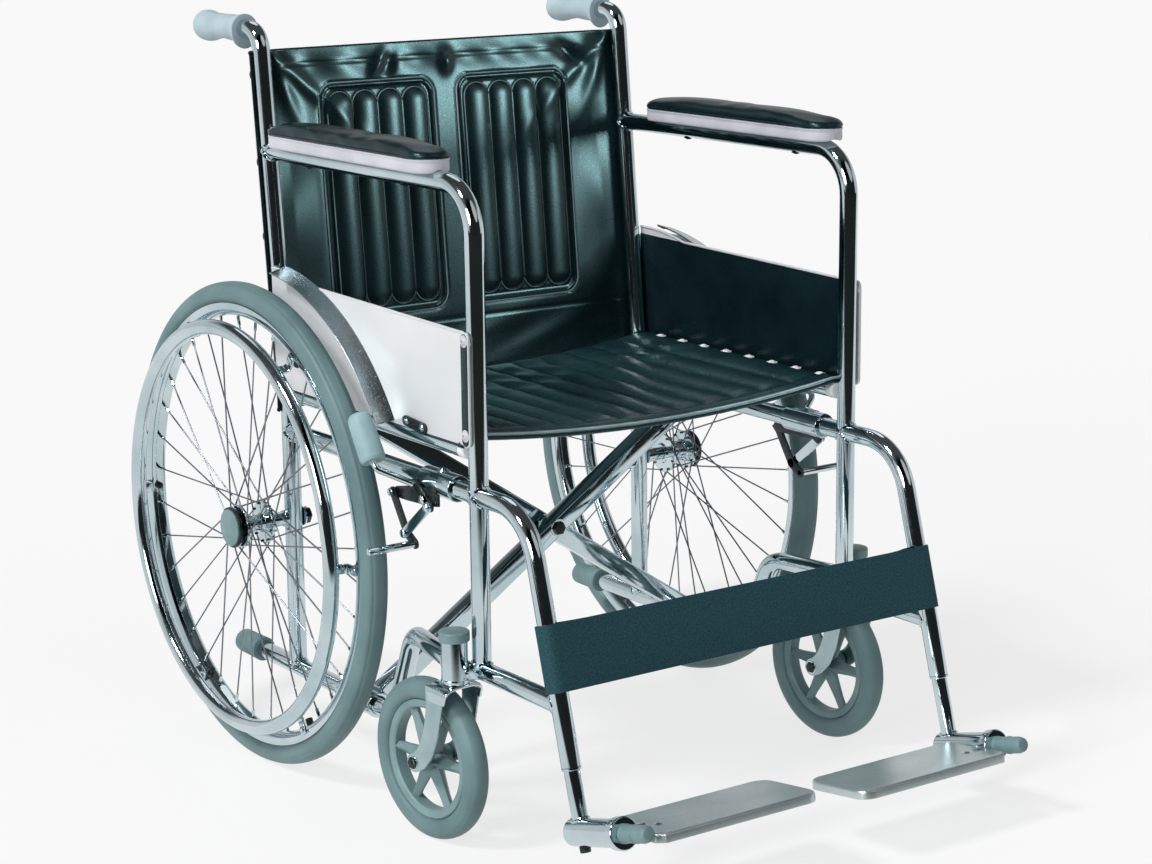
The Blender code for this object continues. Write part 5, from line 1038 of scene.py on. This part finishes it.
bolt_parts = [
    turned([(0, -0.1976), (0.0080, -0.1972), (0.0088, -0.1965), (0.0088, -0.1930), (0, -0.1930)],
           bolt_at, Y_AXIS, 6),
    disc(0.0112, -0.1934, -0.1922, bolt_at, Y_AXIS, 32),
    disc(0.005, -0.1925, -0.1370, bolt_at, Y_AXIS, 20),
    disc(0.0105, -0.1676, -0.1654, bolt_at, Y_AXIS, 32),
    disc(0.0112, -0.1406, -0.1394, bolt_at, Y_AXIS, 32),
    turned([(0, -0.1396), (0.0088, -0.1396), (0.0088, -0.1362), (0.0070, -0.1352),
            (0.0046, -0.1350), (0.0044, -0.1340), (0, -0.1338)], bolt_at, Y_AXIS, 6)]
piece("centre_bolt", bolt_parts, [dark_steel, chrome, chrome, chrome, chrome, dark_steel],
      "brace_front_arm", ["brace_bolt"])

# Seat sling
# Two layers of vinyl sewn into twelve padded channels from front to back. It sags between the
# seat rails, wraps over them under a row of screws, and has a piped front edge.
SEAT_FRONT_Y = -0.408
SEAT_BACK_Y = -0.020
SEAT_SAG = 0.018
SEAT_CHANNELS = 12
SEAT_RIB = 0.0048
SEAT_FIELD = 0.2564
SEAT_WRAP = 0.0170
WRAP_R = 0.0139
WRAP_TURN = 1.4


def shell(top, bottom):
    """A closed skin from two facing grids: each row runs along the top and back along the bottom,
    and the first and last rows close on their middle."""
    loop = np.concatenate([top, bottom[:, ::-1], top[:, :1]], 1)
    middle = (top + bottom)[[0, -1]] / 2
    ends = np.concatenate([middle, middle[:, ::-1], middle[:, :1]], 1)
    return np.concatenate([ends[:1], loop, ends[1:]])


def spread_columns(field, channels, each, beyond):
    """Distances across: `each` steps in every channel, closer by the seams, and the borders."""
    t = (1 - np.cos(np.pi * np.arange(each) / each)) / 2
    inner = ((np.arange(channels)[:, None] + t) / channels).ravel() * 2 * field - field
    return np.concatenate([-beyond[::-1], inner, [field], beyond])


s = spread_columns(SEAT_FIELD, SEAT_CHANNELS, 9, np.concatenate(
    [[0.2600, 0.2638], HALF + np.linspace(0, SEAT_WRAP, 10)]))[None]
y = np.concatenate([SEAT_FRONT_Y + np.array((0, 0.0015, 0.004, 0.008)),
                    np.linspace(SEAT_FRONT_Y + 0.012, SEAT_BACK_Y - 0.012, 92),
                    SEAT_BACK_Y - np.array((0.008, 0.004, 0.0015, 0))])[:, None]
across = np.clip((s + SEAT_FIELD) / (2 * SEAT_FIELD) * SEAT_CHANNELS, 0, SEAT_CHANNELS)
rib = np.abs(np.sin(np.pi * across)) ** 0.55
from_ends = np.minimum((y - SEAT_FRONT_Y - 0.017) / 0.022, (SEAT_BACK_Y - y) / 0.016)
crown = np.clip(from_ends, 0, 1) ** 0.6
front_roll = 0.0042 * np.exp(-((y - SEAT_FRONT_Y - 0.010) / 0.0085) ** 2)
seam_pull = 0.0004 * (1 - rib) * np.sin(2 * np.pi * y / 0.0190 + 2.1 * np.floor(across))
crease = 0.0015 * np.sin(2 * np.pi * (y * 17 + s * 9 + 0.25 * np.sin(s * 31)))
crease = crease * np.exp(-((y + 0.115) / 0.06) ** 2) * rib
crease = crease + 0.0022 * np.sin(2 * np.pi * (s * 21 - y * 13)) * rib * np.exp(
    -((y + 0.05) / 0.03) ** 2 - ((s - 0.06) / 0.09) ** 2)
over = np.clip(np.abs(s) - HALF, 0, None)
x_in = np.clip(s, -HALF, HALF)
deeper = 1 + 0.10 * np.sin(np.pi * (y - SEAT_FRONT_Y) / (SEAT_BACK_Y - SEAT_FRONT_Y))
sag = SEAT_SAG * (1 - (x_in / HALF) ** 2) * deeper
soft = np.clip((HALF - np.abs(s)) / 0.012, 0, 1)
rolled = np.minimum(over / WRAP_R, WRAP_TURN)


def seat_side(radius, lift):
    """One face of the seat: flat part at a height above the rail, sides carried round the rail."""
    x = x_in + np.sign(s) * radius * np.sin(rolled) + 0 * y
    z = SEAT_RAIL_Z + radius * np.cos(rolled) - sag + lift
    return np.stack([x, y + 0 * s, z + 0 * y], -1)


low_face = seat_side(TUBE_R + 0.0004, 0.0)
top_face = seat_side(TUBE_R + 0.0032, soft * (0.0032 + (SEAT_RIB * rib + crease) * crown + front_roll
                                              - seam_pull))
front_line = (top_face[0] + low_face[0]) / 2
back_line = (top_face[-1] + low_face[-1]) / 2
front_hem = carried(circle(0.0042, 12), front_line + (0, -0.0004, -0.0008), Y_AXIS, edge=0.0015)
piping = carried(circle(0.0018, 8), front_line + (0, -0.0036, 0.0028), Y_AXIS, edge=0.0006)
back_hem = carried(circle(0.0028, 10), back_line, Y_AXIS, edge=0.0015)
# Pale cord colour: painted highlight on the back's welded lines; on the seat's front piping it is partly
# pale trim and partly painted highlight.
pale_trim_and_highlight_cord = finish_of(
    "pale_trim_and_highlight_cord", (0.16, 0.27, 0.29), (0.30, 0.42, 0.44), (0.30, 0.45), 0.03, 0.0012, 0.00005)
# The seat's cover is the back's vinyl made lighter and more teal as painted sheen, a lit copy of the
# same material.
sheen_lit_seat_vinyl = finish_of(
    "sheen_lit_seat_vinyl", (0.006, 0.022, 0.026), (0.013, 0.042, 0.048), (0.24, 0.36), 0.07, 0.0011, 0.00005,
    cells=0.6, Specular_Tint=(0.50, 0.95, 1.0, 1))
seat = piece("seat_cover", [shell(top_face, low_face), front_hem, piping, back_hem],
             [sheen_lit_seat_vinyl, vinyl, pale_trim_and_highlight_cord, vinyl], stands_for=["seat_sling"], sharp=60)
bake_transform(seat)

# Back sling
# Black vinyl stretched behind the posts and wrapped round their outer sides, where screws hold
# it. Two embossed panels have a double border round four padded channels with round ends.
BACK_LOW_Z = 0.437
BACK_HIGH_Z = 0.871
BACK_SAG = 0.004
BACK_WRAP = 0.0190
PANEL_IN = 0.016
PANEL_OUT = 0.187
PANEL_LOW = 0.534
PANEL_HIGH = 0.829
SEAM_WIDTH = 0.0014


def groove(distance):
    """A sewn line: 1 on the line, falling off as exp(-(distance / SEAM_WIDTH)^2)."""
    return np.exp(-(distance / SEAM_WIDTH) ** 2)


def rounded_box(x, z, half_x, half_z, corner):
    """Signed distance to a rectangle with round corners, about its own centre."""
    dx, dz = np.abs(x) - half_x + corner, np.abs(z) - half_z + corner
    outside = np.hypot(np.maximum(dx, 0), np.maximum(dz, 0))
    return outside + np.minimum(np.maximum(dx, dz), 0) - corner


s = np.concatenate([-HALF - np.linspace(BACK_WRAP, 0, 10), np.linspace(-HALF, HALF, 216)[1:-1],
                    HALF + np.linspace(0, BACK_WRAP, 10)])[None]
z = np.linspace(BACK_LOW_Z, BACK_HIGH_Z, 172)[:, None]
x_in = np.clip(s, -HALF, HALF)
panel_x = np.abs(s) - (PANEL_IN + PANEL_OUT) / 2
panel_z = z - (PANEL_LOW + PANEL_HIGH) / 2
half_x, half_z = (PANEL_OUT - PANEL_IN) / 2, (PANEL_HIGH - PANEL_LOW) / 2
border = rounded_box(panel_x, panel_z, half_x, half_z, 0.022)
line_out, line_in = groove(border + 0.001), groove(border + 0.0085)
field_x, field_z = half_x - 0.0125, half_z - 0.0125
share = (panel_x + field_x) / (2 * field_x) * 4
cell = np.clip(np.floor(share), 0, 3)
cell_x = panel_x + field_x - (cell + 0.5) * field_x / 2
cell_half = field_x / 4
cell_d = rounded_box(cell_x, panel_z, cell_half, field_z, cell_half * 0.96)
puff = np.sqrt(np.clip(1 - (1 + np.maximum(cell_d, -cell_half) / cell_half) ** 2, 0, 1))
rim_puff = np.exp(-((border + 0.0048) / 0.0026) ** 2)
emboss = 0.0058 * puff + 0.0020 * rim_puff - 0.0016 * (line_out + line_in)
hem_lines = groove(z - BACK_HIGH_Z + 0.017) + groove(z - 0.519) + groove(z - BACK_LOW_Z - 0.014)
pinch = 0.0046 * np.exp(-((z - 0.846) / 0.014) ** 2) * (
    np.exp(-((s + 0.098 - (z - 0.846) * 0.5) / 0.007) ** 2)
    - np.exp(-((s + 0.080 - (z - 0.846) * 0.3) / 0.009) ** 2)
    + np.exp(-((s - 0.004) / 0.008) ** 2) - np.exp(-((s - 0.195 + (z - 0.846)) / 0.012) ** 2))
for corner in (-1, 1):
    below = BACK_HIGH_Z - z
    for lean, width in ((0.42, 0.011), (1.15, 0.014)):
        fold = np.exp(-((corner * s - HALF + 0.014 + lean * below) / width) ** 2)
        pinch = pinch + 0.0042 * fold * np.exp(-(below / 0.085) ** 2)
ripple = 0.0017 * np.sin(2 * np.pi * (s * 13 + z * 5)) * np.exp(-((z - 0.851) / 0.016) ** 2)
ripple = ripple + 0.0010 * np.sin(2 * np.pi * (s * 7 - z * 16)) * np.exp(-((z - 0.487) / 0.03) ** 2)
slack = 0.0016 * np.sin(2 * np.pi * (z * 6.5 + np.abs(s) * 4)) * np.clip(
    1 - np.abs(np.abs(s) - 0.232) / 0.035, 0, 1)
soft = np.clip((HALF - np.abs(s)) / 0.020, 0, 1)
hollow = BACK_SAG * (1 - (x_in / HALF) ** 2) * (1 - 0.25 * np.exp(-((z - BACK_LOW_Z) / 0.05) ** 2))
rolled = np.clip(np.abs(s) - HALF, 0, None) / WRAP_R


def back_side(radius, push):
    """One face of the back: across behind the posts, then carried round each post's outside."""
    x = x_in + np.sign(s) * radius * np.sin(rolled) + 0 * z
    y = post_y(z) + radius * np.cos(rolled) + hollow + push
    return np.stack([x, y + 0 * s, z + 0 * s], -1)


relief = emboss - 0.0013 * hem_lines + pinch + ripple + slack
front_face = back_side(TUBE_R + 0.0010, -relief * soft)
rear_face = back_side(TUBE_R + 0.0042, (0.0045 + 0.0012 * puff + 0.4 * ripple) * soft)
hems = [carried(circle(0.0026, 10), (front_face[row] + rear_face[row]) / 2, Z_AXIS, edge=0.001)
        for row in (0, -1)]


def weld_line(loop, middle_x, radius):
    """A fine round line on the back's front face: the closed loop's (x, z) points, moved to the
    panel's middle, with y from the posts' lean and the hollow of the sling."""
    x, z = (loop + (middle_x, (PANEL_LOW + PANEL_HIGH) / 2)).T
    y = post_y(z) + TUBE_R + BACK_SAG * (1 - (x / HALF) ** 2) + 0.0004
    return carried(circle(radius, 6), np.stack([x, y, z], 1), Y_AXIS, closed=True)


# The pale cords along the panels' borders and channel outlines are painted highlights on the welded
# lines.
lines = []
for side in (-1, 1):
    middle_x = side * (PANEL_IN + PANEL_OUT) / 2
    frame_loop = box_loop(2 * half_x - 0.002, 2 * half_z - 0.002, 0.021, 8)
    lines.append(weld_line(frame_loop, middle_x, 0.0011))
    for cell in (-1.5, -0.5, 0.5, 1.5):
        capsule = box_loop(2 * cell_half, 2 * field_z, cell_half * 0.96, 8)
        lines.append(weld_line(capsule, middle_x + cell * 2 * cell_half, 0.0008))
back_screws = []
for side in (-1, 1):
    for level in (0.470, 0.560, 0.650, 0.740, 0.845):
        out = unit((side * math.sin(0.75), math.cos(0.75), 0))
        seat_point = np.array((side * HALF, post_y(level), level)) + out * (TUBE_R + 0.0042)
        back_screws.append(screw_head(seat_point, out, 0.0036, 0.0018))
back = piece("back_cover", [shell(rear_face, front_face), *hems, *lines],
             [vinyl] * 3 + [pale_trim_and_highlight_cord] * len(lines), "frame_right", ["back_sling"], sharp=60)
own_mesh(back)
piece("back_screws_right", back_screws[:5], chrome, "frame_right")
piece("back_screws_left", back_screws[5:], chrome, "frame_left")

# Calf strap
# A band of dark teal coated webbing stretched in front of the two hangers. It is folded round
# each and its ends are sewn down on the band's own back.
STRAP_WIDTH = 0.074
STRAP_THICK = 0.0023
STRAP_LOW_Z = 0.2215
STRAP_TAIL = 0.045
webbing = bpy.data.materials.new("webbing")
webbing.use_nodes = True
tree = webbing.node_tree
shader = tree.nodes["Principled BSDF"]
weave_uv = node(tree, "UVMap", uv_map="UVMap").outputs["UV"]
warp = node(tree, "TexWave", {"Vector": weave_uv, "Scale": 260.0, "Distortion": 2.0},
            bands_direction="X", wave_profile="SIN")
weft = node(tree, "TexWave", {"Vector": weave_uv, "Scale": 220.0, "Distortion": 2.0},
            bands_direction="Y", wave_profile="SIN")
threads = node(tree, "Math", {0: warp.outputs["Fac"], 1: weft.outputs["Fac"]}, operation="MULTIPLY")
speckle = node(tree, "TexNoise", {"Vector": weave_uv, "Scale": 420.0, "Detail": 4.0})
tint = node(tree, "ValToRGB", {"Fac": speckle.outputs["Fac"]})
tint.color_ramp.elements[0].position = 0.35
tint.color_ramp.elements[0].color = (0.008, 0.040, 0.052, 1)
tint.color_ramp.elements[1].position = 0.65
tint.color_ramp.elements[1].color = (0.019, 0.078, 0.098, 1)
weave_bump = node(tree, "Bump", {"Height": threads.outputs[0], "Distance": 0.00010, "Strength": 1.0})
tree.links.new(tint.outputs["Color"], shader.inputs["Base Color"])
tree.links.new(weave_bump.outputs["Normal"], shader.inputs["Normal"])
shader.inputs["Roughness"].default_value = 0.66
shader.inputs["Specular IOR Level"].default_value = 0.25

reach = TUBE_R + 0.0003 + STRAP_THICK / 2
t = np.linspace(np.pi / 2, -np.pi / 2, 24)
around = np.stack([HALF + reach * np.cos(t), reach * np.sin(t)], 1)
tail_t = np.linspace(0, 1, 10)[1:, None]
ease = tail_t * tail_t * (3 - 2 * tail_t)
tail_depth = -reach + (2 * reach - STRAP_THICK - 0.0002) * ease
tail = np.concatenate([HALF - STRAP_TAIL * tail_t, tail_depth], 1)
front_run = np.stack([np.linspace(0, HALF, 20)[:-1], np.full(19, reach)], 1)
half_line = np.concatenate([front_run, around, tail])
line = np.concatenate([(half_line * (-1, 1))[::-1], half_line[1:]])
ahead = unit(np.gradient(line, axis=0))
normal = np.stack([ahead[:, 1], -ahead[:, 0]], 1)
v = np.linspace(0, 1, 14)[:, None]
bow = 0.0035 * (2 * v - 1) ** 2 * np.clip(1 - (line[:, 0] / HALF) ** 2, 0, 1)
height = STRAP_LOW_Z + v * math.cos(HANGER_LEAN) * STRAP_WIDTH


def strap_face(push):
    """One face of the strap: its line in the plane across the hangers, swept up along their lean."""
    at = line + normal * push
    points = np.zeros((len(v), len(line), 3))
    points[..., 0] = at[:, 0]
    points[..., 1] = hanger_y(height)
    points[..., 2] = height
    return points + (at[:, 1] - bow)[..., None] * FOOT_AHEAD


strap = shell(strap_face(STRAP_THICK / 2), strap_face(-STRAP_THICK / 2))
strap = piece("strap_band", [strap], webbing, "frame_right", ["calf_strap"], sharp=60)
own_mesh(strap)

# Floor, light and camera
# A plain white floor keeps the chair's soft shadow. Metal sees a white room with a darker part on
# the camera's side of it, as a studio has, which gives the tubes their dark middle bands. A
# small disc lamp that lights only the seat and the back puts the highlights on their vinyl.
CAMERA_TURN = math.radians(-35.083)
CAMERA_RISE = math.radians(12.549)
CAMERA_ROLL = math.radians(-0.613)
CAMERA_AIM = np.array((-0.6685, -0.9620, 0.6712))
CAMERA_DISTANCE = 2.0499
FOCAL_PIXELS = 2652.17
PHOTO_WIDTH = 1152
DARK_TURN = math.radians(-14)
DARK_SIDE = (math.sin(DARK_TURN), -math.cos(DARK_TURN), 0.0)
ROOM_LEVEL = 0.8
DARK_LEVEL = 0.02
GLINT_AIM = Vector((0, 0.25, 0.80))


def room_level(tree, place, start, end):
    """How bright metal sees the room: ROOM_LEVEL, down to DARK_LEVEL as place . DARK_SIDE goes
    from start to end."""
    toward = node(tree, "VectorMath", {0: place, 1: DARK_SIDE}, operation="DOT_PRODUCT")
    return node(tree, "MapRange", {
        "Value": toward.outputs["Value"], "From Min": start, "From Max": end,
        "To Min": ROOM_LEVEL, "To Max": DARK_LEVEL}).outputs["Result"]


def mirror_rays(tree, rays):
    """1 for a ray that comes off a shiny surface or through glass, and 0 for any other."""
    return node(tree, "Math", {0: rays["Is Glossy Ray"], 1: rays["Is Transmission Ray"]},
                operation="MAXIMUM").outputs[0]


floor_mesh = bpy.data.meshes.new("floor")
floor_mesh.from_pydata([(-30, -30, 0), (30, -30, 0), (30, 30, 0), (-30, 30, 0)], [], [(0, 1, 2, 3)])
floor = bpy.data.objects.new("floor", floor_mesh)
bpy.context.scene.collection.objects.link(floor)
floor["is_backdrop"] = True
white = bpy.data.materials.new("white_floor")
white.use_nodes = True
tree = white.node_tree
tree.nodes.clear()
rays = node(tree, "LightPath").outputs
place = node(tree, "TexCoord").outputs["Object"]
metal_sees = node(tree, "Emission", {"Strength": room_level(tree, place, 0.80, 1.20)})
camera_sees = node(tree, "Emission", {"Strength": 1.0})
lit = node(tree, "BsdfDiffuse", {"Color": (0.88, 0.88, 0.88, 1)})
share = node(tree, "Math", {0: rays["Is Camera Ray"], 1: 0.75}, operation="MULTIPLY").outputs[0]
seen = node(tree, "MixShader", {0: share, 1: lit.outputs[0], 2: camera_sees.outputs[0]})
both = node(tree, "MixShader", {
    0: mirror_rays(tree, rays), 1: seen.outputs[0], 2: metal_sees.outputs[0]})
node(tree, "OutputMaterial", {"Surface": both.outputs[0]})
floor_mesh.materials.append(white)

world = bpy.data.worlds.new("studio")
bpy.context.scene.world = world
world.use_nodes = True
tree = world.node_tree
tree.nodes.clear()
rays = node(tree, "LightPath").outputs
heading = node(tree, "TexCoord").outputs["Generated"]
rise = node(tree, "SeparateXYZ", {0: heading}).outputs["Z"]
overhead = node(tree, "MapRange", {"Value": rise, "From Min": 0.36, "From Max": 0.56,
                                   "To Min": 1.0, "To Max": 0.10}).outputs["Result"]
bright = node(tree, "Math", {0: room_level(tree, heading, 0.32, 0.50), 1: overhead},
              operation="MULTIPLY").outputs[0]
room = node(tree, "Mix", {0: mirror_rays(tree, rays), 2: 0.27, 3: bright},
            data_type="FLOAT").outputs[0]
level = node(tree, "Mix", {0: rays["Is Camera Ray"], 2: room, 3: 1.0}, data_type="FLOAT").outputs[0]
sky = node(tree, "Background", {"Strength": level})
node(tree, "OutputWorld", {"Surface": sky.outputs[0]})

for name, turn, rise, strength, spread in (
        ("key", -95, 48, 1.9, 12), ("low key", -70, 20, 1.2, 22), ("fill", 20, 40, 0.2, 40),
        ("back", 150, 50, 0.2, 30)):
    lamp = bpy.data.lights.new(name, "SUN")
    lamp.energy = strength
    lamp.angle = math.radians(spread)
    sun = bpy.data.objects.new(name, lamp)
    turn, rise = math.radians(turn), math.radians(rise)
    source = Vector((math.sin(turn) * math.cos(rise), -math.cos(turn) * math.cos(rise),
                     math.sin(rise)))
    sun.rotation_mode = "QUATERNION"
    sun.rotation_quaternion = source.to_track_quat("Z", "Y")
    bpy.context.scene.collection.objects.link(sun)

glint = bpy.data.lights.new("glint", "AREA")
glint.shape = "DISK"
glint.size = 0.35
glint.energy = 10.0
glint_lamp = bpy.data.objects.new("glint", glint)
glint_lamp.location = (0.77, -0.78, 0.94)
glint_lamp.rotation_mode = "QUATERNION"
glint_lamp.rotation_quaternion = (glint_lamp.location - GLINT_AIM).to_track_quat("Z", "Y")
glint_lamp.visible_diffuse = False
glint_lamp.light_linking.receiver_collection = bpy.data.collections.new("vinyl covers")
for cover in (seat, back):
    glint_lamp.light_linking.receiver_collection.objects.link(cover)
bpy.context.scene.collection.objects.link(glint_lamp)

back_way = np.array((math.sin(CAMERA_TURN) * math.cos(CAMERA_RISE),
                     -math.cos(CAMERA_TURN) * math.cos(CAMERA_RISE), math.sin(CAMERA_RISE)))
right_way = np.array((math.cos(CAMERA_TURN), math.sin(CAMERA_TURN), 0))
up_way = np.cross(back_way, right_way)
cos_roll, sin_roll = math.cos(CAMERA_ROLL), math.sin(CAMERA_ROLL)
lens = bpy.data.cameras.new("camera")
lens.lens = FOCAL_PIXELS / PHOTO_WIDTH * lens.sensor_width
lens.clip_start = 0.05
lens.clip_end = 200
camera = bpy.data.objects.new("camera", lens)
columns = [right_way * cos_roll + up_way * sin_roll, up_way * cos_roll - right_way * sin_roll,
           back_way, CAMERA_AIM + back_way * CAMERA_DISTANCE]
camera.matrix_world = Matrix([[*(float(column[row]) for column in columns)] for row in range(3)]
                             + [[0, 0, 0, 1]])
bpy.context.scene.collection.objects.link(camera)
bpy.context.scene.camera = camera
bpy.context.scene.view_settings.view_transform = "Standard"

low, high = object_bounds()
